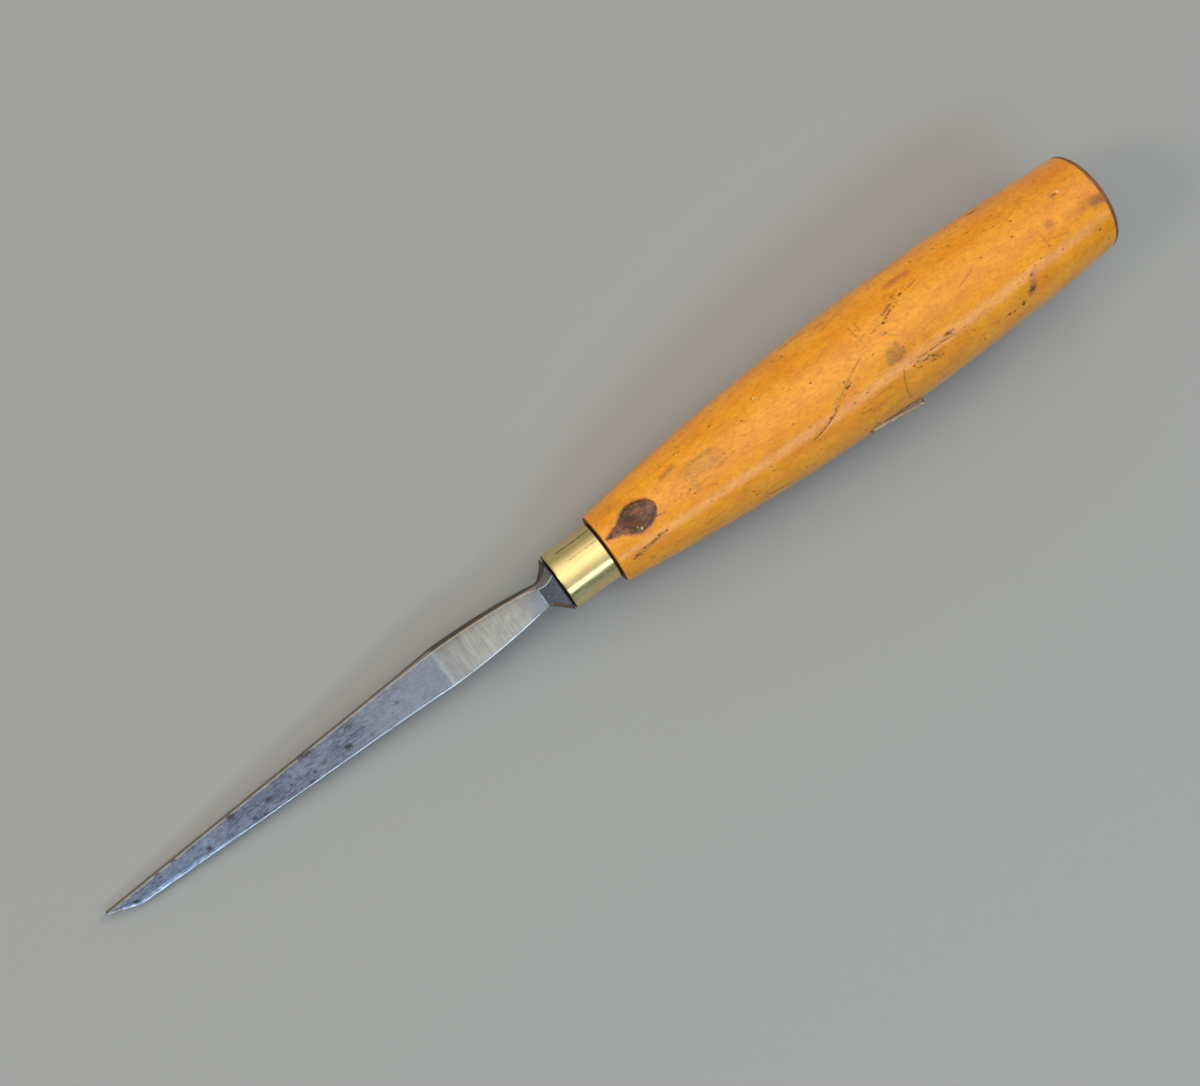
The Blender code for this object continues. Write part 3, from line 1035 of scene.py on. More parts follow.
def marks_of_use() -> list[Mark]:
    """The marks that can be seen on the handle, from the ferrule to the butt.

    Returns:
        The list of marks.
    """
    cut, dent, dirt, stain, chip = MarkKind
    return [
        Mark(cut, (3.0, 22.0), (11.5, 9.5), 0.34, 0.6, 0.3),
        Mark(dent, (3.2, 21.8), (11.2, 10.0), 0.55, 1.0),
        Mark(dirt, (4.0, 20.0), (11.0, 10.5), 0.8, 0.62),
        Mark(dirt, (22.0, -31.0), (28.0, -27.0), 2.2, 0.52),
        Mark(dirt, (22.4, -31.0), (22.2, -10.0), 1.0, 0.56),
        Mark(dirt, (27.4, -31.0), (28.0, -22.0), 0.9, 0.54),
        Mark(dirt, (23.8, -36.5), (28.6, -35.5), 0.7, 0.80),
        Mark(dirt, (17.2, -45.0), (20.6, -47.0), 0.7, 0.80),
        Mark(dent, (24.5, -5.0), (26.8, 0.0), 0.42, 0.7),
        Mark(dent, (30.2, -24.0), (32.6, -19.0), 0.40, 0.55),
        Mark(dirt, (5.0, -58.0), (7.5, -52.0), 1.0, 0.42),
        Mark(cut, (31.5, 48.0), (41.2, 56.0), 0.32, 0.8),
        Mark(cut, (34.0, 52.0), (44.0, 58.0), 0.26, 0.6),
        spot(dent, 42.3, -52.5, 0.7, 0.8),
        spot(chip, 42.7, -51.0, 0.42, 0.9),
        spot(chip, 48.2, -45.0, 0.36, 0.7),
        Mark(cut, (47.6, 19.0), (55.4, 5.0), 0.38, 1.0, 0.3),
        Mark(dent, (51.5, 12.5), (54.6, 6.4), 0.44, 0.9),
        Mark(dent, (55.4, 5.0), (60.2, -6.5), 0.36, 0.9),
        Mark(cut, (54.6, 6.6), (66.0, -22.0), 0.26, 0.62, -0.5),
        spot(dent, 59.6, -5.7, 0.8),
        Mark(dent, (60.4, -8.5), (65.2, -20.0), 0.34, 0.7),
        Mark(cut, (62.6, -73.5), (65.6, -77.0), 0.34, 0.8),
        Mark(cut, (54.0, -88.0), (60.0, -84.0), 0.5, 0.7),
        Mark(dent, (33.5, -78.0), (36.0, -76.0), 0.45, 0.7),
        Mark(dent, (62.8, -66.0), (66.5, -71.0), 0.45, 0.75),
        Mark(cut, (67.4, -52.0), (67.7, -29.0), 0.20, 0.70, 0.2),
        Mark(cut, (69.0, -51.0), (68.7, -39.0), 0.24, 0.75),
        Mark(dent, (70.4, -32.4), (81.5, -49.0), 0.58, 1.0, 0.9),
        Mark(dent, (73.0, -39.0), (78.5, -47.5), 0.55, 0.9, 0.3),
        Mark(dirt, (72.0, -37.0), (80.0, -49.5), 0.7, 0.45, 0.4),
        spot(dent, 72.6, -24.3, 0.7, 0.9),
        Mark(stain, (79.8, -62.3), (84.8, -61.3), 1.0, 0.80),
        spot(stain, 81.6, -62.5, 1.0, 1.0),
        Mark(cut, (81.6, -46.0), (85.4, -49.0), 0.34, 0.85),
        Mark(cut, (85.6, -37.5), (85.8, -33.5), 0.26, 0.9),
        Mark(dirt, (71.0, -7.0), (72.6, -4.0), 1.7, 0.95),
        Mark(dirt, (72.8, -12.0), (72.9, -3.0), 0.8, 1.0),
        Mark(dirt, (70.0, -1.5), (72.3, -0.5), 1.0, 0.95),
        Mark(dirt, (56.0, -7.0), (86.0, -8.0), 1.9, 0.26),
        Mark(cut, (75.6, 11.3), (85.3, 13.4), 0.32, 0.9, -0.2),
        spot(dent, 83.8, 8.4, 1.4),
        spot(dent, 85.2, 8.0, 0.9, 0.9),
        Mark(dent, (74.4, 18.5), (81.5, 23.0), 0.62, 0.95, 0.3),
        Mark(dent, (77.5, 13.5), (80.0, 21.0), 0.62, 1.0),
        Mark(dent, (74.0, 14.5), (79.0, 17.0), 0.62, 1.0),
        Mark(dirt, (75.5, 13.5), (80.0, 18.5), 1.0, 0.55),
        Mark(dent, (85.0, 9.0), (88.0, 15.0), 0.4, 0.7),
        Mark(dent, (88.0, 20.0), (94.0, 30.0), 0.4, 0.6),
        Mark(dent, (63.0, 33.0), (69.0, 40.0), 0.4, 0.6),
        Mark(dent, (84.0, 36.0), (90.0, 44.0), 0.4, 0.55),
        Mark(cut, (71.8, 11.5), (71.2, 46.0), 0.32, 0.85, 0.7),
        spot(dent, 61.5, 26.0, 0.5, 0.7),
        Mark(cut, (61.0, 30.0), (69.5, 27.0), 0.26, 0.4),
        Mark(dent, (98.6, 33.5), (101.6, 35.5), 0.85, 1.0),
        Mark(dent, (102.8, 31.5), (105.4, 24.0), 0.95, 1.0),
        spot(dent, 105.3, 24.5, 1.3),
        Mark(dent, (104.5, 29.0), (107.4, 6.5), 0.55, 0.75, -0.4),
        Mark(dirt, (107.0, 9.0), (104.4, 29.0), 0.9, 0.62, 0.3),
        Mark(dirt, (105.8, 19.0), (104.6, 27.0), 1.1, 0.85),
        spot(dent, 106.4, -85.0, 1.0),
        Mark(cut, (104.5, -86.0), (107.0, -83.0), 0.45, 0.9),
        Mark(dent, (94.5, -70.0), (96.0, -66.0), 0.5, 0.7),
        Mark(cut, (119.2, -39.5), (121.2, -39.3), 0.45, 1.0),
        spot(chip, 121.4, -40.2, 0.42, 0.9),
        Mark(cut, (112.0, -18.0), (112.6, -3.0), 0.20, 0.8),
        spot(stain, 115.3, -17.2, 1.3, 0.85),
        Mark(stain, (120.0, -12.0), (125.0, -11.0), 2.0, 0.62),
        Mark(stain, (126.0, -11.0), (129.5, -8.0), 1.5, 1.0),
        Mark(stain, (112.0, -58.0), (128.0, -40.0), 8.0, 0.36),
        Mark(dirt, (126.4, -10.5), (128.6, -8.0), 1.0, 0.75),
        spot(dent, 124.9, 19.0, 0.5, 0.9),
        Mark(cut, (60.5, 61.0), (74.5, 66.0), 1.1, 1.0, 0.4),
        Mark(cut, (64.0, 59.0), (72.5, 63.0), 0.7, 0.9),
        Mark(dent, (68.5, 67.0), (74.2, 70.0), 1.1, 1.0),
        spot(dent, 62.0, 55.0, 0.8, 0.9),
        Mark(cut, (62.0, 50.0), (63.4, 58.0), 0.6, 1.0),
    ]


@dataclass
class HandleGrid:
    """The unrolled side of the handle, on which relief and layers are painted.

    Attributes:
        station: Millimetres from the shoulder towards the butt, for every point.
        angle: Degrees round the handle, for every point.
        radius: Plain radius in millimetres, for every point.
        layers: Painted layers, each from 0 to 1, but for the distance across the nearest cut.
        relief: Height over the plain radius, in millimetres.
    """

    station: Array
    angle: Array
    radius: Array
    layers: dict[str, Array] = field(init=False)
    relief: Array = field(init=False)

    LAYERS = ("dent", "dirt", "stain", "chip", "cut_depth", "grime_and_shade", "end_grain")
    CUT_REACH = 4.0
    CUT_DEPTH = 0.05
    LEAST_GROOVE = 0.3
    DENT_DEPTH = 0.07
    DENT_SPACING = 1.7

    def __post_init__(self) -> None:
        """Starts every layer empty."""
        self.relief = np.zeros_like(self.station)
        self.layers = {name: np.zeros_like(self.station) for name in self.LAYERS}
        self.layers["cut"] = np.full_like(self.station, self.CUT_REACH)

    def offsets(self, station: float, angle: float) -> tuple[Array, Array]:
        """Millimetres along and round the surface from a place to every point."""
        return self.station - station, self.radius * np.radians(wrap_degrees(self.angle - angle))

    def lay_out(self, mark: Mark) -> tuple[Array, Array, float]:
        """Coordinates of every point in a mark's own straight frame on the unrolled surface.

        Args:
            mark: The mark.

        Returns:
            Millimetres along the mark from its start, millimetres across it, and its length.
        """
        along, around = self.offsets(*mark.start)
        middle = np.abs(along).argmin()
        run_around = self.radius.flat[middle] * math.radians(mark.end[1] - mark.start[1])
        run = np.array([mark.end[0] - mark.start[0], run_around])
        length = float(np.hypot(*run))
        heading = run / length if length else np.array([1.0, 0.0])
        forward = along * heading[0] + around * heading[1]
        sideways = around * heading[0] - along * heading[1]
        share = forward / max(length, MM)
        return forward, sideways - 4.0 * mark.bend * share * (1.0 - share), length

    def raise_layer(self, name: str, mask: Array) -> None:
        """Keeps the greater of a layer and a mask."""
        np.maximum(self.layers[name], mask, out=self.layers[name])

    def paint(self, mark: Mark) -> None:
        """Paints one mark into its layer and its relief."""
        painters = {MarkKind.CUT: self.paint_cut, MarkKind.DENT: self.paint_dents}
        painters.get(mark.kind, self.paint_patch)(mark)

    def paint_cut(self, mark: Mark) -> None:
        """A cut: distance across it in half-widths, and a depth that runs out at both ends.

        Args:
            mark: The cut.
        """
        forward, sideways, length = self.lay_out(mark)
        ends = smooth_step(-0.3, 0.6, forward) * smooth_step(length + 0.3, length - 0.6, forward)
        across = sideways / (mark.width / 2)
        near = (np.abs(across) < np.abs(self.layers["cut"])) & (ends > 0)
        self.layers["cut"][near] = across[near]
        self.layers["cut_depth"][near] = (ends * mark.strength)[near]
        groove = bell(sideways, 0.0, max(mark.width, self.LEAST_GROOVE))
        self.relief -= self.CUT_DEPTH * mark.strength * ends * groove

    def paint_dents(self, mark: Mark) -> None:
        """Small hollows along a line, of uneven size and spacing, or one where the line has no length.

        Args:
            mark: The row of dents.
        """
        forward, sideways, length = self.lay_out(mark)
        count = 1 + int(length / (self.DENT_SPACING * mark.width))
        rng = np.random.default_rng(int(1000 * mark.start[0] + 10 * abs(mark.end[1])))
        places = np.linspace(0.0, length, count) + rng.normal(0.0, 0.7 * mark.width, count) * (count > 1)
        for place in places:
            long, broad = mark.width / 2 * rng.uniform([0.5, 0.4], [2.0, 1.1])
            drift = rng.normal(0.0, 0.35 * mark.width) * (count > 1)
            hollow = bell(forward, place, long) * bell(sideways, drift, broad)
            self.raise_layer("dent", np.clip(1.2 * hollow, 0.0, 1.0) * mark.strength * rng.uniform(0.6, 1.0))
            self.relief -= self.DENT_DEPTH * mark.strength * hollow

    def paint_patch(self, mark: Mark) -> None:
        """A soft patch: full along the mark's line and fading over its width.

        Args:
            mark: The patch.
        """
        forward, sideways, length = self.lay_out(mark)
        beyond = np.maximum(np.maximum(-forward, forward - length), 0.0)
        fade = np.exp(-(((beyond**2 + sideways**2) / mark.width**2) ** 1.2))
        self.raise_layer(mark.kind.value, fade * mark.strength)


@dataclass(frozen=True)
class Knot:
    """A teardrop knot with its tail towards the ferrule.

    Attributes:
        station: Millimetres from the shoulder to the broadest place.
        angle: Degrees round the handle.
        half_breadth: Half its greatest breadth in millimetres.
        ahead: Length of the body towards the ferrule.
        behind: Length of the body towards the butt.
        tail: Length from the broadest place to the tip of the tail.
    """

    station: float = 8.3
    angle: float = -25.5
    half_breadth: float = 3.45
    ahead: float = 7.2
    behind: float = 5.0
    tail: float = 7.8

    TAIL_SLOPE = 0.42
    TAIL_BREADTH = 1.1
    BULGE = 0.12
    RIM_GROOVE = 0.10
    HEART_DEPTH = 0.35
    GRAIN_PUSH = 1.6
    CRACKS = (
        Mark(MarkKind.CUT, (11.6, -12.5), (14.0, -8.5), 0.5, 0.9),
        Mark(MarkKind.CUT, (5.6, -33.0), (8.6, -12.5), 0.34, 1.0, 0.5),
        Mark(MarkKind.CUT, (6.8, -22.0), (9.8, -17.5), 0.26, 0.9, -0.3),
        Mark(MarkKind.CUT, (2.6, -28.0), (6.2, -27.0), 0.30, 0.8),
        spot(MarkKind.CHIP, 8.0, -9.5, 0.34, 0.9),
        spot(MarkKind.CHIP, 7.4, -13.5, 0.26, 0.7),
        spot(MarkKind.CHIP, 6.2, -24.0, 0.24, 0.5),
    )

    def paint(self, grid: HandleGrid) -> Array:
        """Paints the knot, its rim, heart and pits, and bends the grain round it.

        The body's half-breadth is 1 - (along / length) squared, to the power 2.2 ahead and 0.62 behind, like
        a drop, and the tail widens evenly from its tip until the body is broader.

        Args:
            grid: The handle's side.

        Returns:
            How far the grain is pushed round the handle at each point, in millimetres.
        """
        along, around = grid.offsets(self.station, self.angle)
        share = np.abs(along) / np.where(along < 0, self.ahead, self.behind)
        body = self.half_breadth * np.maximum(1.0 - share**2, 0.0) ** np.where(along < 0, 2.2, 0.62)
        tail = np.where(along < 0, self.TAIL_SLOPE * np.clip(along + self.tail, 0.0, None), 0.0)
        breadth = np.maximum(body, np.minimum(tail, self.TAIL_BREADTH))
        inside = np.where(breadth > 0, breadth - np.abs(around), -np.hypot(around, 0.8))
        grid.layers["knot"] = np.clip(0.5 + 0.48 * inside, 0.0, 1.0)
        depth = np.clip(inside / self.half_breadth, 0.0, 1.0)
        bearing = np.degrees(np.arctan2(around, along))
        ring = bell(depth, 0.10, 0.09) * (along > -4.5)
        inner = bell(depth, 0.42, 0.07) * (along > 0.0)
        dark_side = smooth_step(150.0, 90.0, np.abs(wrap_degrees(bearing + 25.0)))
        grid.layers["knot_rim"] = np.maximum(ring * dark_side, 0.75 * inner)
        forward, aside = along + 1.3, around - 0.3
        long, short = 0.55 * forward + 0.84 * aside, 0.84 * forward - 0.55 * aside
        heart = (long / 2.5) ** 2 + (short / 1.5) ** 2
        tip = 0.8 * bell(along, -6.6, 1.0) * (inside > 0)
        dark = np.maximum(np.clip(1.35 * np.exp(-0.8 * heart), 0.0, 1.0), tip)
        grid.layers["knot_heart"] = dark
        grid.relief += self.BULGE * np.sqrt(depth) - self.RIM_GROOVE * ring
        grid.relief -= self.HEART_DEPTH * dark * (inside > 0)
        for mark in self.CRACKS:
            grid.paint(mark)
        return self.GRAIN_PUSH * np.sign(around) * np.exp(-np.abs(around) / 3.0) * bell(along, 0.0, 6.0)


@dataclass
class Handle(SubAssembly):
    """The turned handle: spigot and socket at the front, a swelling barrel, and a crowned butt.

    Attributes:
        shoulder: Station of the shoulder, in millimetres from the ferrule's front.
        butt: Station of the butt's flat.
        belly_diameter: Greatest diameter.
        belly_station: Millimetres from the shoulder to the belly.
        shoulder_diameter: Diameter at the shoulder.
        shoulder_round: Radius of the shoulder's corner.
        butt_diameter: Diameter where the crown starts.
        butt_crown: How far the butt is crowned.
        butt_land: Diameter of the butt's flat.
        spigot_diameter: Diameter of the spigot in the ferrule.
        spigot_chamfer: Chamfer of its front corner.
        socket_mouth: Side of the tang's square socket at its mouth.
        socket_floor: Side of the socket at its floor.
        socket_depth: Depth of the socket.
        socket_corner: How far its corners are cut.
        finish: Finish of the wood.
        knot: The knot near the ferrule.
        marks: Marks of use.
    """

    shoulder: float
    butt: float
    belly_diameter: float
    belly_station: float = 78.5
    shoulder_diameter: float = 16.75
    shoulder_round: float = 0.6
    butt_diameter: float = 23.6
    butt_crown: float = 1.9
    butt_land: float = 10.0
    spigot_diameter: float = 11.2
    spigot_chamfer: float = 0.5
    socket_mouth: float = 6.2
    socket_floor: float = 3.0
    socket_depth: float = 58.3
    socket_corner: float = 0.3
    finish: WoodFinish = field(default_factory=WoodFinish)
    knot: Knot = field(default_factory=Knot)
    marks: list[Mark] = field(default_factory=marks_of_use)

    SOCKET_ROWS = 9
    ROUND_ROWS = 6
    BARREL_ROWS = 415
    CROWN_ROWS = 22
    LAND_ROWS = 7
    LAST_RING = 0.25
    COLUMNS = 204
    TOP_ANGLE = -14.0
    CROWDING = 0.5
    SCATTER_SEED = 41
    SPECK_COUNT = 330
    HAIRLINE_COUNT = 105
    FAR_FROM_KNOT = 99.0
    UNEVEN = 0.07
    WAVES = ((0.006, 1.0), (0.011, -2.0), (0.019, 1.0), (0.027, 3.0), (0.034, -1.0), (0.05, 2.0))

    @property
    def length(self) -> float:
        """Length from the shoulder to the butt."""
        return self.shoulder - self.butt

    def column_angles(self) -> Array:
        """Angles of the columns, crowded towards the top where the marks are.

        The angle is the turn less a share of its sine, so the spacing is least at the top angle.

        Returns:
            Degrees round the handle.
        """
        turn = np.arange(self.COLUMNS) / self.COLUMNS
        crowded = turn - self.CROWDING * np.sin(2.0 * math.pi * turn) / (2.0 * math.pi)
        return self.TOP_ANGLE + 360.0 * crowded

    def barrel_radius(self, along: Array) -> Array:
        """Radius of the swelling side: one arc from the shoulder to the belly, and one on to the crown.

        Args:
            along: Millimetres from the shoulder.

        Returns:
            Radius in millimetres.
        """
        past = along - self.belly_station
        ahead = np.clip(-past / self.belly_station, 0.0, None)
        behind = np.clip(past / (self.length - self.butt_crown - self.belly_station), 0.0, None)
        fall_ahead = (self.belly_diameter - self.shoulder_diameter) * ahead**2
        fall_behind = (self.belly_diameter - self.butt_diameter) * behind**2
        return (self.belly_diameter - fall_ahead - fall_behind) / 2

    def outline(self) -> tuple[Array, Array]:
        """The turned outline behind the spigot: shoulder face, rounded corner, barrel, crown and flat.

        Returns:
            Millimetres from the shoulder and radius, for each row.
        """
        quarter = np.radians(np.linspace(0.0, 90.0, self.ROUND_ROWS))
        corner = self.shoulder_round
        rim = float(self.barrel_radius(np.array([corner]))[0]) - corner
        rim_along = corner * (1.0 - np.cos(quarter))
        rim_radius = rim + corner * np.sin(quarter)
        barrel_along = np.linspace(corner, self.length - self.butt_crown, self.BARREL_ROWS + 1)[1:]
        arc = np.radians(np.linspace(0.0, 90.0, self.CROWN_ROWS + 1))[1:]
        land = self.butt_land / 2
        crown_along = self.length - self.butt_crown * (1.0 - np.sin(arc))
        crown_radius = land + (self.butt_diameter / 2 - land) * np.cos(arc)
        flat_radius = np.linspace(land, self.LAST_RING, self.LAND_ROWS + 1)[1:]
        along = [[0.0], rim_along, barrel_along, crown_along, np.full(len(flat_radius), self.length)]
        inner = self.spigot_diameter / 2
        radius = [[inner], rim_radius, self.barrel_radius(barrel_along), crown_radius, flat_radius]
        return np.concatenate(along), np.concatenate(radius)

    def socket_radius(self, side: Array, angles: Array) -> Array:
        """Distance from the axis to a square with cut corners, by angle.

        It is the nearer of the square's side, half / max(|sin|, |cos|), and its cut corner, which lies on the
        line |y| + |z| = side - cut.

        Args:
            side: Side of the square for each ring.
            angles: Angles of the columns in radians.

        Returns:
            Rings by columns of distances.
        """
        cosine, sine = np.abs(np.cos(angles)), np.abs(np.sin(angles))
        flat = side[:, None] / 2 / np.maximum(cosine, sine)
        cut = (side[:, None] - self.socket_corner) / (cosine + sine)
        return np.minimum(flat, cut)

    def front_rings(self, angles: Array) -> tuple[Array, Array]:
        """Rings of the socket, from its floor to its mouth, and of the spigot's face and side.

        Args:
            angles: Angles of the columns in radians.

        Returns:
            Stations and radii, rings by columns.
        """
        depth = np.linspace(-self.socket_depth, 0.0, self.SOCKET_ROWS)
        side = np.linspace(self.socket_floor, self.socket_mouth, self.SOCKET_ROWS)
        spigot = self.spigot_diameter / 2
        turned_station = np.array([0.0, -self.spigot_chamfer, self.shoulder * 0.5])
        turned_radius = np.array([spigot - self.spigot_chamfer, spigot, spigot])
        round_ring = np.ones_like(angles)
        station = np.concatenate([depth, turned_station])[:, None] * round_ring
        radius = np.concatenate([self.socket_radius(side, angles), turned_radius[:, None] * round_ring])
        return station, radius

    def scatter(self, grid: HandleGrid) -> None:
        """Strews tiny dents and hairline cuts over the whole handle, the same ones each time.

        Args:
            grid: The handle's side.
        """
        rng = np.random.default_rng(self.SCATTER_SEED)
        for number in range(self.SPECK_COUNT):
            angle = rng.normal(45.0, 22.0) if number % 3 == 0 else rng.uniform(-180.0, 180.0)
            start = np.array([rng.uniform(3.0, self.length - 4.0), angle])
            end = start + np.array([rng.uniform(0.0, 1.6), rng.normal(0.0, 1.5)])
            width, strength = rng.uniform([0.22, 0.4], [0.5, 0.85])
            grid.paint(Mark(MarkKind.DENT, tuple(start), tuple(end), width, strength))
        for _ in range(self.HAIRLINE_COUNT):
            start = np.array([rng.uniform(4.0, self.length - 12.0), rng.uniform(-180.0, 180.0)])
            end = start + np.array([rng.uniform(1.0, 7.0), rng.normal(0.0, 6.0)])
            width, strength = rng.uniform([0.14, 0.2], [0.26, 0.6])
            grid.paint(Mark(MarkKind.CUT, tuple(start), tuple(end), width, strength))

    def surface(self) -> Surface:
        """The whole handle as one grid, from the socket's floor round to the middle of the butt.

        Returns:
            The surface with its painted layers.
        """
        degrees = self.column_angles()
        angles = np.radians(degrees)
        along, plain = self.outline()
        rows, columns = np.meshgrid(along, degrees, indexing="ij")
        grid = HandleGrid(rows, columns, np.repeat(plain[:, None], self.COLUMNS, axis=1))
        push = self.knot.paint(grid)
        for mark in self.marks:
            grid.paint(mark)
        self.scatter(grid)
        grid.relief += self.UNEVEN * ripples(grid.station, grid.angle / 360.0, self.WAVES, 7)
        on_side = smooth_step(0.0, 0.8, along) * smooth_step(self.length - 0.1, self.length - 1.4, along)
        # The end's dark colour reaches a little onto the side before the crown, as a dark rim round the butt.
        butt = smooth_step(self.length - 2.5, self.length - 2.0, along)
        grid.layers["end_grain"] += butt[:, None]
        # A dark ring on the shoulder face, next to the ferrule.
        grid.layers["grime_and_shade"] += smooth_step(0.14, 0.02, along)[:, None]
        front_station, front_radius = self.front_rings(angles)
        station = np.concatenate([front_station, self.shoulder - grid.station])
        radius = np.concatenate([front_radius, grid.radius + grid.relief * on_side[:, None]])
        return self.finished(grid, turned(station, radius, angles), push, len(front_station))

    def finished(self, grid: HandleGrid, points: Array, push: Array, front_rows: int) -> Surface:
        """Adds the socket's and spigot's rows to the layers, and the places that grain and knot are drawn in.

        Args:
            grid: The painted side.
            points: All points of the handle.
            push: How far the grain is pushed round the handle at each point of the side.
            front_rows: Count of rings before the side.

        Returns:
            The surface.
        """
        front = np.zeros((front_rows, self.COLUMNS))
        layers = {name: np.concatenate([front, values]) for name, values in grid.layers.items()}
        layers["cut"][:front_rows] = HandleGrid.CUT_REACH
        # Painted shade: the spigot and the socket, inside the ferrule, are painted dark all over.
        layers["grime_and_shade"][:front_rows] = 1.0
        turn = np.radians(np.concatenate([front + grid.angle[0], grid.angle]))
        shove = np.concatenate([front, push])[..., None]
        around = np.stack([np.zeros_like(turn), np.cos(turn), -np.sin(turn)], axis=-1)
        layers["grain_space"] = points - shove * around
        along, across = grid.offsets(self.knot.station, self.knot.angle)
        knot_space = np.stack([along, across, np.zeros_like(along)], axis=-1)
        away = np.full((front_rows, self.COLUMNS, 3), self.FAR_FROM_KNOT)
        layers["knot_space"] = np.concatenate([away, knot_space])
        return Surface("handle_wood", points, layers, sharp_angle=35.0)

    def claim(self, piece: bpy.types.Object) -> None:
        """Hides the CAD handle, which this piece takes the place of."""
        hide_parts("handle")


@dataclass
class Splinter(SubAssembly):
    """A sliver torn up from the handle's side, still held at one end.

    Attributes:
        handle: The handle that it is torn from.
        start: Millimetres from the shoulder, and degrees round the handle, where it is held.
        end: The same for its free end.
        lift: Height of the free end over the handle in millimetres.
        width: Greatest width.
        thickness: Greatest thickness.
        finish: Finish of the torn wood.
    """

    handle: Handle
    start: Pair = (60.6, 61.0)
    end: Pair = (74.5, 72.5)
    lift: float = 1.2
    width: float = 1.6
    thickness: float = 1.05
    finish: TornFinish = field(default_factory=TornFinish)

    ROWS = 60
    COLUMNS = 14
    ROOT_DEPTH = 0.12
    FLAP_DROP = 0.40
    TORN_LENGTH = 0.45

    def surface(self) -> Surface:
        """The sliver: an oval section carried along a line that rises from the wood.

        The height over the wood grows as the share of the length to the power 1.5. The width grows to three
        quarters of the length and then tapers. The last stretch thickens towards the wood and ends in a torn,
        wavy edge.

        Returns:
            The surface.
        """
        share = np.linspace(0.0, 1.0, self.ROWS)
        station = blend(self.start[0], self.end[0], share)
        middle = np.radians(blend(self.start[1], self.end[1], share))
        flap = smooth_step(0.80, 0.94, share)
        lifted = (self.lift + self.ROOT_DEPTH) * share**1.5 - self.ROOT_DEPTH - self.FLAP_DROP * flap
        radius = self.handle.barrel_radius(station) + lifted
        wide = self.width * (0.30 + 0.70 * np.sin(0.5 * math.pi * np.clip(share / 0.75, 0.0, 1.0)))
        wide *= 1.0 - 0.7 * smooth_step(0.86, 1.0, share)
        wide += 0.35 * np.sin(23.0 * share) * share * (1.0 - share) + 0.12 * np.sin(57.0 * share) * share
        thick = self.thickness * (1.0 - 0.35 * share) * (1.0 + 0.25 * np.sin(31.0 * share + 1.0))
        thick *= 1.0 + flap
        turn = np.arange(self.COLUMNS) * 2.0 * math.pi / self.COLUMNS
        around = np.outer(wide / 2, np.cos(turn))
        rise = np.outer(thick / 2, np.sin(turn)) + 0.10 * np.cos(turn * 2.0 + 0.6) * share[:, None]
        angle = middle[:, None] + around / radius[:, None]
        reach = radius[:, None] + rise
        torn = self.TORN_LENGTH * np.outer(smooth_step(0.9, 1.0, share), np.sin(3.0 * turn + 0.4))
        along = self.handle.shoulder - station[:, None] - torn
        points = turned(along, reach, angle)
        # Darker along the lower edge and at the held end.
        dark_lower_edge = 0.7 * np.clip(np.cos(turn), 0.0, None) ** 4
        edge = np.maximum(dark_lower_edge, smooth_step(0.12, 0.0, share)[:, None])
        outside = smooth_step(0.45, 0.8, np.cos(turn - math.radians(35.0)))
        skin = np.outer(smooth_step(1.0, 0.9, share), outside)
        layers = {"edge": edge[:, ::-1], "skin": skin[:, ::-1]}
        return Surface("handle_splinter", points[:, ::-1], layers, sharp_angle=60.0)

    def claim(self, piece: bpy.types.Object) -> None:
        """Does nothing: the splinter takes the place of no CAD node."""


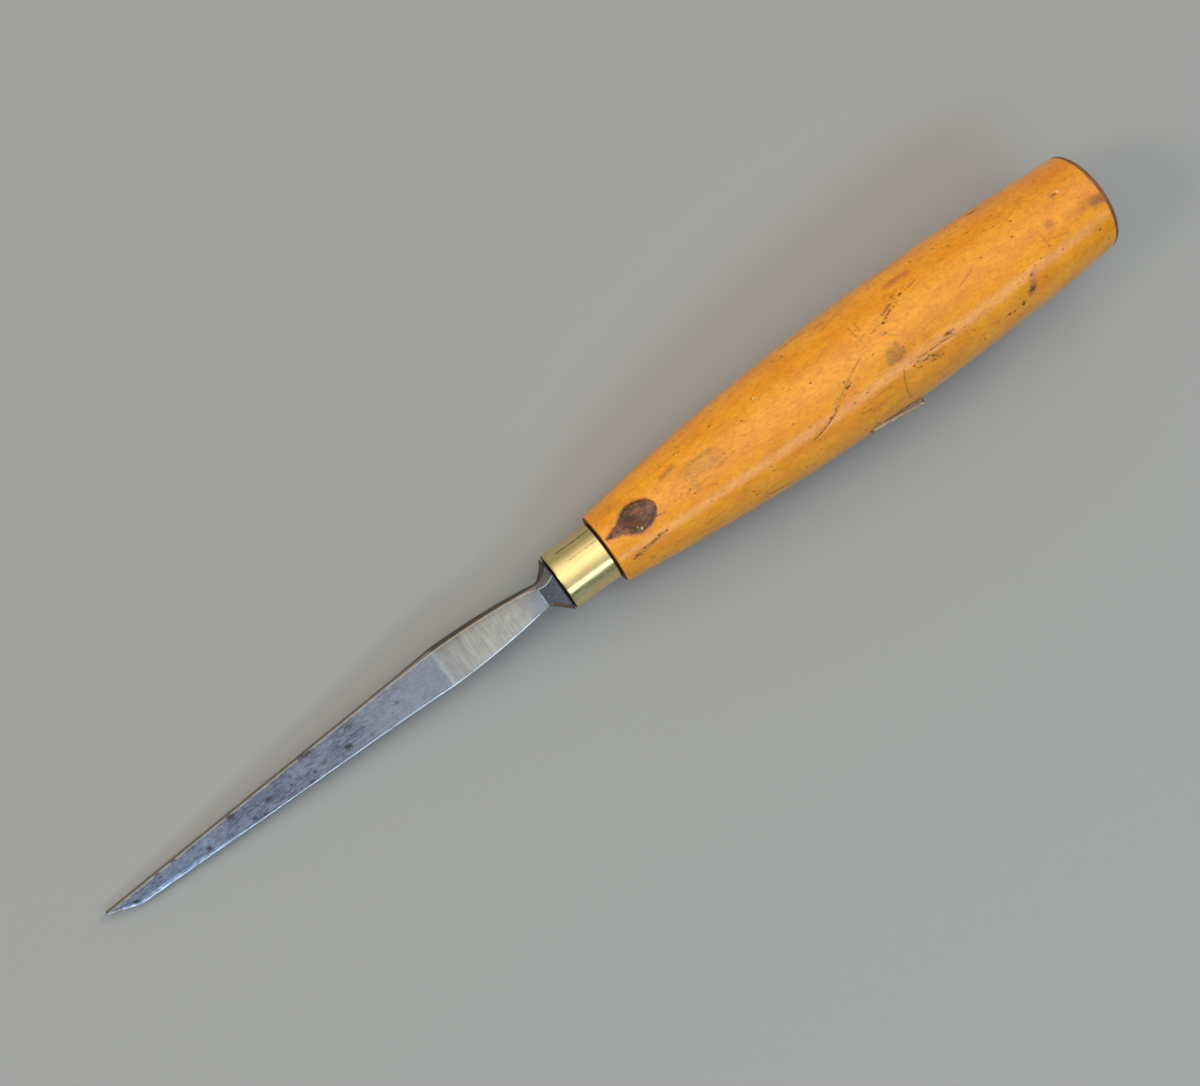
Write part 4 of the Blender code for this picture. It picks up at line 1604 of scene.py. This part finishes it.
@dataclass
class Ferrule(SubAssembly):
    """The brass tube round the spigot.

    Attributes:
        length: Length of the tube in millimetres.
        diameter: Outer diameter.
        wall: Thickness of its wall.
        lip: Radius of its outer corners.
        waist: How much thinner it is in the middle.
        finish: Finish of the brass.
    """

    length: float
    diameter: float
    wall: float = 0.9
    lip: float = 0.35
    waist: float = 0.12
    finish: BrassFinish = field(default_factory=BrassFinish)

    COLUMNS = 240
    SIDE_ROWS = 48
    LIP_ROWS = 6
    BORE_ROWS = 6
    UNEVEN = 0.018
    WAVES = ((0.03, 1.0), (0.08, -2.0), (0.05, 3.0), (0.13, 4.0), (0.02, 6.0))
    # How plain each streak is, its angle, half its breadth and where it starts.
    STREAKS = ((1.0, -67.0, 2.6, 1.6), (1.0, 25.0, 1.6, 2.4), (0.7, -38.0, 2.2, 3.0), (0.6, 140.0, 3.0, 1.0))

    def profile(self) -> tuple[Array, Array]:
        """The wall's outline: front lip, waisted side, rear lip and bore, as a closed loop.

        The side sinks by the waist times 4t(1 - t), with t from front to rear.

        Returns:
            Stations and radii in millimetres.
        """
        outer = self.diameter / 2
        quarter = np.radians(np.linspace(0.0, 90.0, self.LIP_ROWS))
        lip_along = self.lip * (1.0 - np.cos(quarter))
        lip_radius = outer - self.lip * (1.0 - np.sin(quarter))
        t = np.linspace(0.0, 1.0, self.SIDE_ROWS + 2)[1:-1]
        side_along = blend(self.lip, self.length - self.lip, t)
        side_radius = outer - self.waist * 4.0 * t * (1.0 - t)
        bore_along = np.linspace(self.length, 0.0, self.BORE_ROWS)
        bore_radius = np.full(self.BORE_ROWS, outer - self.wall)
        along = np.concatenate([lip_along, side_along, self.length - lip_along[::-1], bore_along])
        radius = np.concatenate([lip_radius, side_radius, lip_radius[::-1], bore_radius])
        return -along, radius

    def streak(self, turn: Array, along: Array, angle: float, breadth: float, start: float) -> Array:
        """A thin dull line along the tube.

        Args:
            turn: Angle of each point in radians.
            along: Station of each point.
            angle: Where the line lies, in degrees.
            breadth: Half its breadth in degrees.
            start: Where it starts, in millimetres from the front.

        Returns:
            How dull each point is.
        """
        aside = wrap_degrees(np.degrees(turn) - angle)
        return bell(aside, 0.0, breadth) * smooth_step(start, start + 1.5, -along)

    def surface(self) -> Surface:
        """The tube with small dents and the layers of its tarnish.

        Returns:
            The surface.
        """
        station, radius = self.profile()
        angles = np.radians(np.arange(self.COLUMNS) * 360.0 / self.COLUMNS)
        along, turn = np.meshgrid(station, angles, indexing="ij")
        outside = (radius > self.diameter / 2 - self.wall * 0.8)[:, None]
        bumps = self.UNEVEN * ripples(along, turn / (2.0 * math.pi), self.WAVES, 3) * outside
        from_end = np.minimum(-along, along + self.length)
        streak = sum(share * self.streak(turn, along, *place) for share, *place in self.STREAKS)
        ends = smooth_step(0.32, 0.06, from_end)
        layers = {
            # Dark ends where the tube meets the bolster and the handle, dull streaks, and painted shade over
            # the whole bore.
            "grime_and_shade": np.where(outside, np.maximum(0.75 * ends, 0.56 * streak), 1.0),
            "tarnish": np.maximum(0.75 * streak, 0.4 * smooth_step(1.0, 0.3, from_end)),
        }
        points = turned(along, radius[:, None] + bumps, turn)
        return Surface("ferrule_brass", points, layers, closed_rows=True)

    def claim(self, piece: bpy.types.Object) -> None:
        """Hides the CAD ferrule, which this piece takes the place of."""
        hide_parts("ferrule")


@dataclass(frozen=True)
class Pit:
    """A dark pit or stain on the blade.

    Attributes:
        station: Millimetres from the ferrule.
        depth: Millimetres across the blade from the tool's axis.
        length: Half-length along the blade.
        width: Half-width across it.
        strength: How dark it is, up to 1.
    """

    station: float
    depth: float
    length: float
    width: float
    strength: float = 1.0


def pits_of_age() -> list[Pit]:
    """The pits that can be seen on the blade, from the tip to the shank.

    Returns:
        The list of pits.
    """
    return [
        Pit(111.9, 1.0, 0.5, 0.25, 0.9),
        Pit(109.0, 1.8, 0.55, 0.4),
        Pit(102.1, -0.1, 0.8, 0.25, 0.8),
        Pit(98.0, -0.45, 0.7, 0.25, 0.85),
        Pit(90.7, 1.9, 0.55, 0.45),
        Pit(85.7, 2.2, 0.9, 0.5, 0.65),
        Pit(83.3, -0.95, 0.9, 0.55, 0.95),
        Pit(79.6, 2.4, 0.6, 0.42),
        Pit(75.1, 0.85, 1.0, 0.6, 0.7),
        Pit(69.6, 1.25, 0.4, 0.35, 0.85),
        Pit(63.6, -2.3, 1.9, 0.4),
        Pit(64.1, 1.9, 0.5, 0.6, 0.75),
        Pit(61.4, 1.45, 0.6, 0.7, 0.7),
        Pit(55.5, 1.85, 0.9, 0.8, 0.85),
        Pit(42.2, 0.05, 1.0, 0.8, 0.55),
    ]


@dataclass
class BladeRows:
    """Sections of the forging, one number per section in each array, in millimetres.

    Attributes:
        station: Place along the tool.
        back: Depth of the flat back.
        front: Depth of the bevel side.
        half: Half the thickness.
        back_corner: Size of the corners at the back.
        front_corner: Size of the corners at the bevel side.
        roundness: 1 for rounded corners, 0 for flat cut ones.
    """

    station: Array
    back: Array
    front: Array
    half: Array
    back_corner: Array
    front_corner: Array
    roundness: Array

    @classmethod
    def joined(cls, runs: list[BladeRows]) -> BladeRows:
        """All runs of sections, one after another."""
        columns = ([getattr(run, item.name) for run in runs] for item in fields(cls))
        return cls(*map(np.concatenate, columns))


@dataclass
class Blade(SubAssembly):
    """The forging: hidden tang, flared bolster, swelling shank, ground blade and bevel.

    Attributes:
        length: Millimetres from the ferrule to the cutting edge.
        tang_length: Length of the tang behind the ferrule's front.
        depth: Greatest depth, at the swell.
        swell: Station of the swell.
        shank_thickness: Thickness at the swell.
        neck_depth: Depth at the neck.
        neck_thickness: Thickness at the neck.
        arris: Size of the rubbed corners.
        neck_corner: Size of the back's corners at the neck.
        worn_arris: Size of the bevel side's corners near the edge.
        worn_width: Width of the facet rubbed along that side near the edge.
        worn_slope: Slope of that facet in degrees.
        grind_length: Length of the hollow ramp to the thin blade.
        front_thickness: Thickness of the thin blade.
        edge_width: Width of the cutting edge.
        edge_offset: Depth of the cutting edge.
        edge_land: Thickness left at the edge.
        bevel_length: Length of the bevel.
        heel_depth: Depth of the blade at the bevel's heel.
        seat: Station of the bolster's seat.
        bolster_length: Length of the bolster.
        bolster_square: Side of its square rim.
        bolster_corner: How far the rim's corners are cut at the back.
        bolster_front_corner: How far they are cut at the bevel side.
        bolster_rim: Length of the rim.
        tang_root: Side of the tang at the bolster.
        tang_point: Side of the tang at its point.
        tang_corner: How far the tang's corners are cut.
        finish: Finish of the steel.
        pits: Pits on the upper side.
    """

    length: float
    tang_length: float
    depth: float = 9.1
    swell: float = 30.4
    shank_thickness: float = 4.0
    neck_depth: float = 5.4
    neck_thickness: float = 3.2
    arris: float = 0.25
    neck_corner: float = 0.85
    worn_arris: float = 0.32
    worn_width: float = 1.15
    worn_slope: float = 9.5
    grind_length: float = 16.0
    front_thickness: float = 2.2
    edge_width: float = 2.0
    edge_offset: float = 0.35
    edge_land: float = 0.15
    bevel_length: float = 6.9
    heel_depth: float = 3.4
    seat: float = 0.3
    bolster_length: float = 4.1
    bolster_square: float = 10.9
    bolster_corner: float = 1.9
    bolster_front_corner: float = 1.0
    bolster_rim: float = 0.3
    tang_root: float = 5.6
    tang_point: float = 2.4
    tang_corner: float = 0.3
    finish: SteelFinish = field(default_factory=SteelFinish)
    pits: list[Pit] = field(default_factory=pits_of_age)

    TANG_ROWS = 24
    FLARE_ROWS = 25
    SHANK_ROWS = 67
    FRONT_ROWS = 195
    BEVEL_ROWS = 26
    CORNER_POINTS = 6
    WIDE_POINTS = 22
    NARROW_POINTS = 6
    RIM_EASE = 0.12
    BACK_FLARE = 1.7
    SIDE_FLARE = 1.06
    HIDDEN_PITS = 26
    WORN_FROM = 70.0
    WORN_FULL = 98.0
    UNEVEN = 0.012
    PIT_DEPTH = 0.06
    WAVES = ((0.05, 0.02), (0.09, -0.06), (0.14, 0.1), (0.21, -0.03), (0.3, 0.16))

    @property
    def neck(self) -> float:
        """Station of the neck, where the bolster starts to flare."""
        return self.seat + self.bolster_length

    @property
    def heel(self) -> float:
        """Station of the bevel's heel."""
        return self.length - self.bevel_length

    def back_line(self, station: Array) -> Array:
        """Depth of the flat back, straight from the swell to the cutting edge."""
        return blend(-self.depth / 2, self.edge_offset, (station - self.swell) / (self.length - self.swell))

    def belly_line(self, station: Array) -> Array:
        """Depth of the bevel side, straight from the swell to the heel."""
        heel = self.back_line(self.heel) + self.heel_depth
        return blend(self.depth / 2, heel, (station - self.swell) / (self.heel - self.swell))

    def square_run(self, station: Array, side: Array, corner: Array | float) -> BladeRows:
        """Square sections about the axis, with flat cut corners."""
        corner = corner + np.zeros_like(station)
        return BladeRows(station, -side / 2, side / 2, side / 2, corner, corner, np.zeros_like(station))

    def tang_run(self) -> BladeRows:
        """The tang, tapering evenly from its point to its root.

        Returns:
            The sections.
        """
        share = np.linspace(0.0, 1.0, self.TANG_ROWS)
        side = blend(self.tang_point, self.tang_root, share)
        return self.square_run(blend(-self.tang_length, self.seat, share), side, self.tang_corner)

    def rim_run(self) -> BladeRows:
        """The bolster's square rim, with a fine bevel round its seat.

        Returns:
            The sections.
        """
        station = self.seat + np.array([0.0, self.RIM_EASE, self.bolster_rim])
        side = self.bolster_square - 2.0 * np.array([self.RIM_EASE, 0.0, 0.0])
        rows = self.square_run(station, side, self.bolster_corner)
        rows.front_corner = np.full_like(station, self.bolster_front_corner)
        return rows

    def flare_run(self) -> BladeRows:
        """The bolster's flare: straight on the sides and bevel side, hollow like a fillet on the back.

        At a share of its length from rim to neck, a side is at neck + (rim - neck)(1 - share)^power.

        Returns:
            The sections.
        """
        share = np.linspace(0.0, 1.0, self.FLARE_ROWS + 1)[1:]
        station = blend(self.seat + self.bolster_rim, self.neck, share)
        straight = (1.0 - share) ** self.SIDE_FLARE
        hollow = (1.0 - share) ** self.BACK_FLARE
        front = blend(self.neck_depth, self.bolster_square, straight) / 2
        back = -blend(self.neck_depth, self.bolster_square, hollow) / 2
        half = blend(self.neck_thickness, self.bolster_square, straight) / 2
        back_corner = blend(self.neck_corner, self.bolster_corner, straight)
        front_corner = blend(self.arris, self.bolster_front_corner, straight)
        return BladeRows(station, back, front, half, back_corner, front_corner, np.zeros_like(share))

    def shank_run(self) -> BladeRows:
        """The shank, which swells in an arc from the neck: the fall from the swell is (1 - share) squared.

        The back's corners are cut at the neck and soon turn into a small rounding.

        Returns:
            The sections.
        """
        share = np.linspace(0.0, 1.0, self.SHANK_ROWS + 1)[1:]
        fall = (1.0 - share) ** 2
        depth = blend(self.depth, self.neck_depth, fall)
        half = blend(self.shank_thickness, self.neck_thickness, fall) / 2
        back_corner = blend(self.arris, self.neck_corner, fall**4)
        arris = np.full_like(share, self.arris)
        station = blend(self.neck, self.swell, share)
        return BladeRows(station, -depth / 2, depth / 2, half, back_corner, arris, 1.0 - fall**4)

    def ground_run(self) -> BladeRows:
        """The ground front: a ramp that thins by (1 - share) squared, a straight taper, and the bevel.

        Returns:
            The sections.
        """
        station = np.concatenate([
            np.linspace(self.swell, self.heel, self.FRONT_ROWS + 1)[1:],
            np.linspace(self.heel, self.length, self.BEVEL_ROWS + 1)[1:],
        ])
        thin_from = self.swell + self.grind_length
        ramp = share_between(self.swell, thin_from, station)
        taper = share_between(thin_from, self.length, station)
        bevel = share_between(self.heel, self.length, station)
        thin = blend(self.front_thickness, self.edge_width, taper)
        half = blend(thin, self.shank_thickness, (1.0 - ramp) ** 2) / 2
        back = self.back_line(station)
        ground = blend(self.belly_line(self.heel), self.edge_offset + self.edge_land, bevel)
        front = np.where(bevel > 0, ground, self.belly_line(station))
        room = 0.3 * (front - back)
        worn = blend(self.arris, self.worn_arris, share_between(self.swell, self.heel, station))
        corners = np.minimum(self.arris, room), np.minimum(worn, room)
        return BladeRows(station, back, front, half, *corners, np.ones_like(station))

    def section_grid(self, rows: BladeRows) -> tuple[Array, dict[str, Array]]:
        """Points of every section: four corners with straight sides between them.

        A corner runs through a quarter turn about its centre, on the arc where it is rounded and on the arc's
        chord where it is cut.

        Args:
            rows: The sections.

        Returns:
            Depth and height of every point, and masks that tell which side each column lies on.
        """
        share = np.linspace(0.0, 1.0, self.CORNER_POINTS)
        corners = (
            (rows.back, rows.back_corner, 1.0, -1.0, 180.0),
            (rows.front, rows.front_corner, -1.0, -1.0, 270.0),
            (rows.front, rows.front_corner, -1.0, 1.0, 0.0),
            (rows.back, rows.back_corner, 1.0, 1.0, 90.0),
        )
        rounds = []
        for face, size, inward, upright, start in corners:
            turn = np.radians(start + 90.0 * share)
            arc = np.stack([np.cos(turn), np.sin(turn)], axis=-1)
            chord = arc[0] + (arc[-1] - arc[0]) * share[:, None]
            shape = chord + rows.roundness[:, None, None] * (arc - chord)
            centre = np.stack([face + inward * size, upright * (rows.half - size)], axis=-1)
            rounds.append(centre[:, None, :] + size[:, None, None] * shape)
        counts = (self.WIDE_POINTS, self.NARROW_POINTS, self.WIDE_POINTS, self.NARROW_POINTS)
        stretches = []
        sides = []
        corner_sides = ("back_corner", "front_corner", "front_corner", "back_corner")
        for number, (count, side) in enumerate(zip(counts, ("under", "bevel_side", "upper", "back"))):
            here, there = rounds[number][:, -1:], rounds[(number + 1) % 4][:, :1]
            inner = np.linspace(0.0, 1.0, count + 2)[1:-1, None]
            stretches += [rounds[number], here + (there - here) * inner]
            sides += [corner_sides[number]] * self.CORNER_POINTS + [side] * count
        sides = np.array(sides)
        masks = {name: (sides == name).astype(float) for name in np.unique(sides)}
        return np.concatenate(stretches, axis=1), masks

    def bevel_side_depth(self, points: Array, masks: dict[str, Array]) -> Array:
        """Depth of each section's bevel side, as one column."""
        return points[:, masks["bevel_side"] > 0, 1].mean(axis=1)[:, None]

    def painted(self, points: Array, masks: dict[str, Array]) -> dict[str, Array]:
        """Layers of the steel: brown back, rubbed corners, forged end, rust, pits and grime.

        Args:
            points: All points of the forging.
            masks: Which side each column lies on.

        Returns:
            The layers.
        """
        station, depth, height = np.moveaxis(points, -1, 0)
        bolster = smooth_step(self.neck + 0.12, self.neck - 0.12, station)
        blade = 1.0 - bolster
        wide = masks["upper"] + masks["under"]
        # A dark line in the crease at the neck.
        crease = 0.7 * bell(station, self.neck - 0.14, 0.10) * wide
        # Painted shade: the bolster's rim beside the ferrule, and the tang inside it, are darkened.
        seat = smooth_step(self.seat + 0.5, self.seat + 0.2, station)
        # Painted highlight: a bright line across the wide faces at the neck.
        rim_line = bell(station, self.neck + 0.2, 0.2) * wide
        shank = smooth_step(self.swell + 1.0, self.swell - 1.0, station)
        behind = smooth_step(self.seat - 0.1, self.seat, station)
        from_back = depth - points[:, masks["back"] > 0, 1].mean(axis=1)[:, None]
        from_front = self.bevel_side_depth(points, masks) - depth
        chamfer = masks["back_corner"] * smooth_step(self.neck + 6.0, self.neck, station)
        flared = smooth_step(self.neck, self.neck - 1.2, station)
        lower_facet = masks["upper"] * smooth_step(1.75, 1.45, from_front) * flared
        side_flare = 0.8 * bolster * (masks["bevel_side"] + masks["front_corner"] + lower_facet)
        tang = smooth_step(self.seat, self.seat - 2.0, station)
        toward_edge = smooth_step(self.WORN_FROM, self.WORN_FULL, station)
        rubbed = masks["front_corner"] * blade * blend(0.64, 1.0, toward_edge)
        # Painted highlight: a bright band on the wide faces along the bevel side's edge, towards the tip.
        sheen = 0.85 * np.exp(-from_front / 0.8) * wide * smooth_step(74.0, 97.0, station) * blade
        half = height.max(axis=1)[:, None]
        # Painted highlight: the upper half of the back face, from the swell to the edge, is painted cream;
        # only the lower half stays brown.
        upper_back = masks["back"] * smooth_step(-0.2, 0.2, height / half) * (1.0 - shank)
        # Painted glints along the bolster's corners next to its wide faces.
        ridge = masks["back_corner"] * (np.roll(masks["upper"], 1) + np.roll(masks["under"], -1))
        # The back face darkened on the bolster and the shank.
        dark_back = masks["back"] * np.maximum(0.5 * bolster, 0.46 * shank)
        return {
            "back": np.maximum(masks["back"] - upper_back, side_flare) * behind,
            # Cream: the worn back corner, and the painted highlight on the back face's upper half.
            "back_wear_and_highlight": np.maximum(0.75 * upper_back, 0.52 * masks["back_corner"] * blade),
            # The rubbed corners and the painted highlights: the band near the edge, the line at the neck and
            # the glints on the bolster.
            "arris": np.clip(np.maximum(rubbed, sheen) + rim_line + 0.9 * ridge * bolster * behind, 0.0, 1.0),
            "forged": bolster,
            "rust": np.maximum(blend(0.5, 0.86, bolster) * chamfer, 0.8 * tang),
            "tint": 0.6 * np.exp(-np.clip(from_back, 0.0, None)) * shank * blade,
            "specked": 0.25 + 0.75 * smooth_step(self.swell, self.swell + 12.0, station),
            "pit": self.pitted(points, self.pits, 1.0) + self.pitted(points, self.hidden_pits(), -1.0),
            # The dark crease, the darker back and the painted shade at the bolster's seat.
            "grime_and_shade": np.maximum(np.maximum(crease, seat), dark_back),
        }

    def hidden_pits(self) -> list[Pit]:
        """Pits strewn over the under side, the same ones each time.

        Returns:
            The list of pits.
        """
        least = [8.0, -3.0, 0.4, 0.3, 0.5]
        most = [self.length - 6.0, 3.0, 1.2, 0.6, 0.9]
        rng = np.random.default_rng(23)
        return [Pit(*rng.uniform(least, most)) for _ in range(self.HIDDEN_PITS)]

    def pitted(self, points: Array, pits: list[Pit], side: float) -> Array:
        """How deep each point is pitted: a bell over each pit's length and width, on one side of the blade.

        Args:
            points: All points of the forging.
            pits: The pits.
            side: 1 for the upper side, -1 for the under side.

        Returns:
            The greatest depth of any pit at each point, up to 1.
        """
        station, depth, height = np.moveaxis(points, -1, 0)
        deepest = np.zeros_like(station)
        for pit in pits:
            reach = ((station - pit.station) / pit.length) ** 2 + ((depth - pit.depth) / pit.width) ** 2
            np.maximum(deepest, pit.strength * np.exp(-0.7 * reach), out=deepest)
        return deepest * (height * side > 0)

    def surface(self) -> Surface:
        """The whole forging as one grid, from the tang's point to the cutting edge.

        Returns:
            The surface with its painted layers.
        """
        runs = [self.tang_run(), self.rim_run(), self.flare_run(), self.shank_run(), self.ground_run()]
        rows = BladeRows.joined(runs)
        section, masks = self.section_grid(rows)
        station = np.repeat(rows.station[:, None], section.shape[1], axis=1)
        points = np.concatenate([station[..., None], section], axis=-1)
        layers = self.painted(points, masks)
        face = masks["upper"] - masks["under"]
        uneven = ripples(station, points[..., 1], self.WAVES, 11)
        uneven *= smooth_step(self.neck, self.neck + 3.0, station)
        edge = self.bevel_side_depth(points, masks)
        narrowing = smooth_step(self.WORN_FROM, self.WORN_FULL, station)
        narrowing *= smooth_step(self.length, self.heel, station)
        near_edge = np.clip(self.worn_width * narrowing - (edge - points[..., 1]), 0.0, None)
        worn = math.tan(math.radians(self.worn_slope)) * near_edge
        points[..., 2] *= 1.0 - worn / rows.half[:, None]
        points[..., 2] += (self.UNEVEN * uneven - self.PIT_DEPTH * layers["pit"]) * face
        return Surface("blade_steel", points, layers, sharp_angle=24.0)

    def claim(self, piece: bpy.types.Object) -> None:
        """Hides the CAD blade, which this piece takes the place of."""
        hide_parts("blade")


@dataclass(frozen=True)
class PhotoCamera:
    """The camera, placed by the tool.

    Attributes:
        lens: Focal length in millimetres on a 36 mm wide sensor.
        distance: Millimetres from the lens to the middle of the picture on the tool.
        station: Where the middle of the picture meets the tool, in millimetres from the ferrule's front.
        lean: How far the camera leans towards the cutting edge, in degrees.
        roll: How far it stands over towards the blade's back, in degrees.
        heading: Slope of the tool in the picture, in degrees.
        drop: How far the tool's axis passes below the middle of the picture, in millimetres.
    """

    lens: float = 49.5
    distance: float = 350.0
    station: float = -12.07
    lean: float = 5.0
    roll: float = 16.0
    heading: float = 35.96
    drop: float = 1.59

    def build(self, axes: ToolAxes) -> None:
        """Makes the camera and makes it the scene's camera.

        Args:
            axes: Where the tool lies.
        """
        lean, roll, heading = (math.radians(angle) for angle in (self.lean, self.roll, self.heading))
        away = np.array([math.sin(lean), -math.cos(lean) * math.sin(roll), math.cos(lean) * math.cos(roll)])
        view = axes.turn @ away
        along = -axes.turn[:, 0]
        level = unit(along - view * (along @ view))
        over = np.cross(view, level)
        right = math.cos(heading) * level - math.sin(heading) * over
        top = math.sin(heading) * level + math.cos(heading) * over
        target = axes.place(np.array([self.station, 0.0, 0.0])) + over * self.drop * MM
        eye = target + view * self.distance * MM
        data = bpy.data.cameras.new("photo_camera")
        data.lens = self.lens
        data.clip_start = 0.01
        camera = linked("photo_camera", data)
        camera.matrix_world = matrix_of(right, top, view, eye)
        bpy.context.scene.camera = camera


@dataclass(frozen=True)
class SoftBox:
    """A rectangular soft light over the tool.

    Attributes:
        name: Name of the light.
        tilt: Degrees from straight up, towards the bevel side if positive.
        swing: Degrees that it is swung along the tool, towards the butt.
        distance: Metres from the tool.
        across: Size across the tool in metres.
        along: Size along the tool in metres.
        radiance: Brightness of its face, where 1 is white.
        colour: Colour of the light.
    """

    name: str
    tilt: float
    swing: float
    distance: float
    across: float
    along: float
    radiance: float
    colour: Colour

    def build(self, axes: ToolAxes) -> None:
        """Hangs the light so that it faces the tool, with its length along the tool.

        A flat lamp's power is its brightness times its area times pi.

        Args:
            axes: Where the tool lies.
        """
        data = bpy.data.lights.new(self.name, "AREA")
        data.shape = "RECTANGLE"
        data.size = self.along
        data.size_y = self.across
        data.color = self.colour
        data.energy = self.radiance * self.along * self.across * math.pi
        tilt, swing = math.radians(self.tilt), math.radians(self.swing)
        over = math.sin(tilt) * np.cross(UP, axes.level) + math.cos(tilt) * UP
        back = math.cos(swing) * over - math.sin(swing) * axes.level
        length = math.cos(swing) * axes.level + math.sin(swing) * over
        place = self.distance * back
        linked(self.name, data).matrix_world = matrix_of(length, np.cross(back, length), back, place)


class SkyPlan(Plan):
    """Lays out the nodes of the world."""

    def towards(self, heading: Array) -> Socket:
        """Cosine of the angle between the direction looked in and a heading.

        Args:
            heading: The heading, of length one.

        Returns:
            The cosine.
        """
        direction = self.node("ShaderNodeTexCoord", {}).outputs["Generated"]
        inputs = {0: direction, 1: tuple(heading)}
        return self.node("ShaderNodeVectorMath", inputs, operation="DOT_PRODUCT").outputs["Value"]


@dataclass(frozen=True)
class Studio:
    """A plain pale floor under a soft dome, with two warm windows and two cool lights on the bevel side.

    Attributes:
        floor_colour: Colour of the floor.
        floor_size: Width of the floor in metres.
        bright: Colour of the dome's bright side.
        warm_low: Colour of its low part beyond the blade's back.
        cool_low: Colour of its low part beyond the bevel side.
        tilt: Degrees from straight up to the middle of the bright side, towards the blade's back.
        falloff: Power by which the dome dims away from there.
        lights: The lights.
    """

    floor_colour: Colour = (0.318, 0.318, 0.309)
    floor_size: float = 40.0
    bright: Colour = (1.50, 1.48, 1.42)
    warm_low: Colour = (0.285, 0.255, 0.195)
    cool_low: Colour = (0.075, 0.115, 0.195)
    tilt: float = 21.0
    falloff: float = 3.3
    lights: tuple[SoftBox, ...] = (
        SoftBox("butt_window", -22.0, 58.0, 2.6, 0.8, 0.8, 10.6, (1.0, 0.95, 0.85)),
        SoftBox("tip_window", -22.0, -52.0, 2.6, 0.8, 0.8, 11.4, (1.0, 0.95, 0.85)),
        SoftBox("cool_strip", 43.0, 0.0, 0.9, 0.28, 1.3, 2.6, (0.64, 0.84, 1.0)),
        SoftBox("low_fill", 78.0, 0.0, 1.2, 0.40, 1.4, 0.30, (0.78, 0.90, 1.0)),
    )

    def build(self, axes: ToolAxes) -> None:
        """Makes the floor, the dome and the lights.

        Args:
            axes: Where the tool lies.
        """
        self.build_floor()
        self.build_dome(axes)
        for light in self.lights:
            light.build(axes)
        bpy.context.scene.view_settings.view_transform = "Standard"

    def build_floor(self) -> None:
        """A flat matt square at the height of the bench."""
        half = self.floor_size / 2
        corners = [(-half, -half, 0.0), (half, -half, 0.0), (half, half, 0.0), (-half, half, 0.0)]
        mesh = bpy.data.meshes.new("floor")
        mesh.from_pydata(corners, [], [(0, 1, 2, 3)])
        matt = {"Base Color": (*self.floor_colour, 1.0), "Roughness": 0.75, "Specular IOR Level": 0.2}
        mesh.materials.append(MaterialPlan("Pale floor").dressed(matt))
        floor = linked("floor", mesh)

    def build_dome(self, axes: ToolAxes) -> None:
        """A world that dims away from the middle of its bright side, by a power of the cosine.

        It dims to a warm low part beyond the blade's back and to a cool one beyond the bevel side.

        Args:
            axes: Where the tool lies.
        """
        world = bpy.data.worlds.new("soft_dome")
        world.use_nodes = True
        plan = SkyPlan(world.node_tree)
        side = np.cross(UP, axes.level)
        tilt = math.radians(self.tilt)
        middle = math.cos(tilt) * UP - math.sin(tilt) * side
        share = plan.maths("POWER", plan.greater(plan.towards(middle), 0.0), self.falloff)
        low = plan.mix(plan.rise(plan.towards(side), -0.6, 0.6), self.warm_low, self.cool_low)
        background = world.node_tree.nodes["Background"]
        plan.fill(background.inputs["Color"], plan.mix(share, low, self.bright))
        bpy.context.scene.world = world


def main() -> None:
    """Builds the camera, the studio and the tool's pieces in order, and logs each piece's count of triangles.
    """
    logging.basicConfig(level=logging.INFO, format="%(name)s: %(message)s")
    axes = ToolAxes.from_frame()
    PhotoCamera().build(axes)
    Studio().build(axes)
    ferrule_low, ferrule_high = axes.reach("ferrule")
    handle_low, handle_high = axes.reach("handle")
    blade_low, blade_high = axes.reach("blade")
    belly = handle_high[1] - handle_low[1]
    handle = Handle(ferrule_low[0] - SHOULDER_GAP, handle_low[0], belly)
    assemblies = (
        Blade(blade_high[0], -blade_low[0]),
        Ferrule(-ferrule_low[0], ferrule_high[1] - ferrule_low[1]),
        handle,
        Splinter(handle),
    )
    for assembly in assemblies:
        piece = assembly.build(axes)
        triangles = sum(len(face.vertices) - 2 for face in piece.data.polygons)
        LOG.info("%s: %d triangles", piece.name, triangles)


if __name__ == "__main__":
    main()
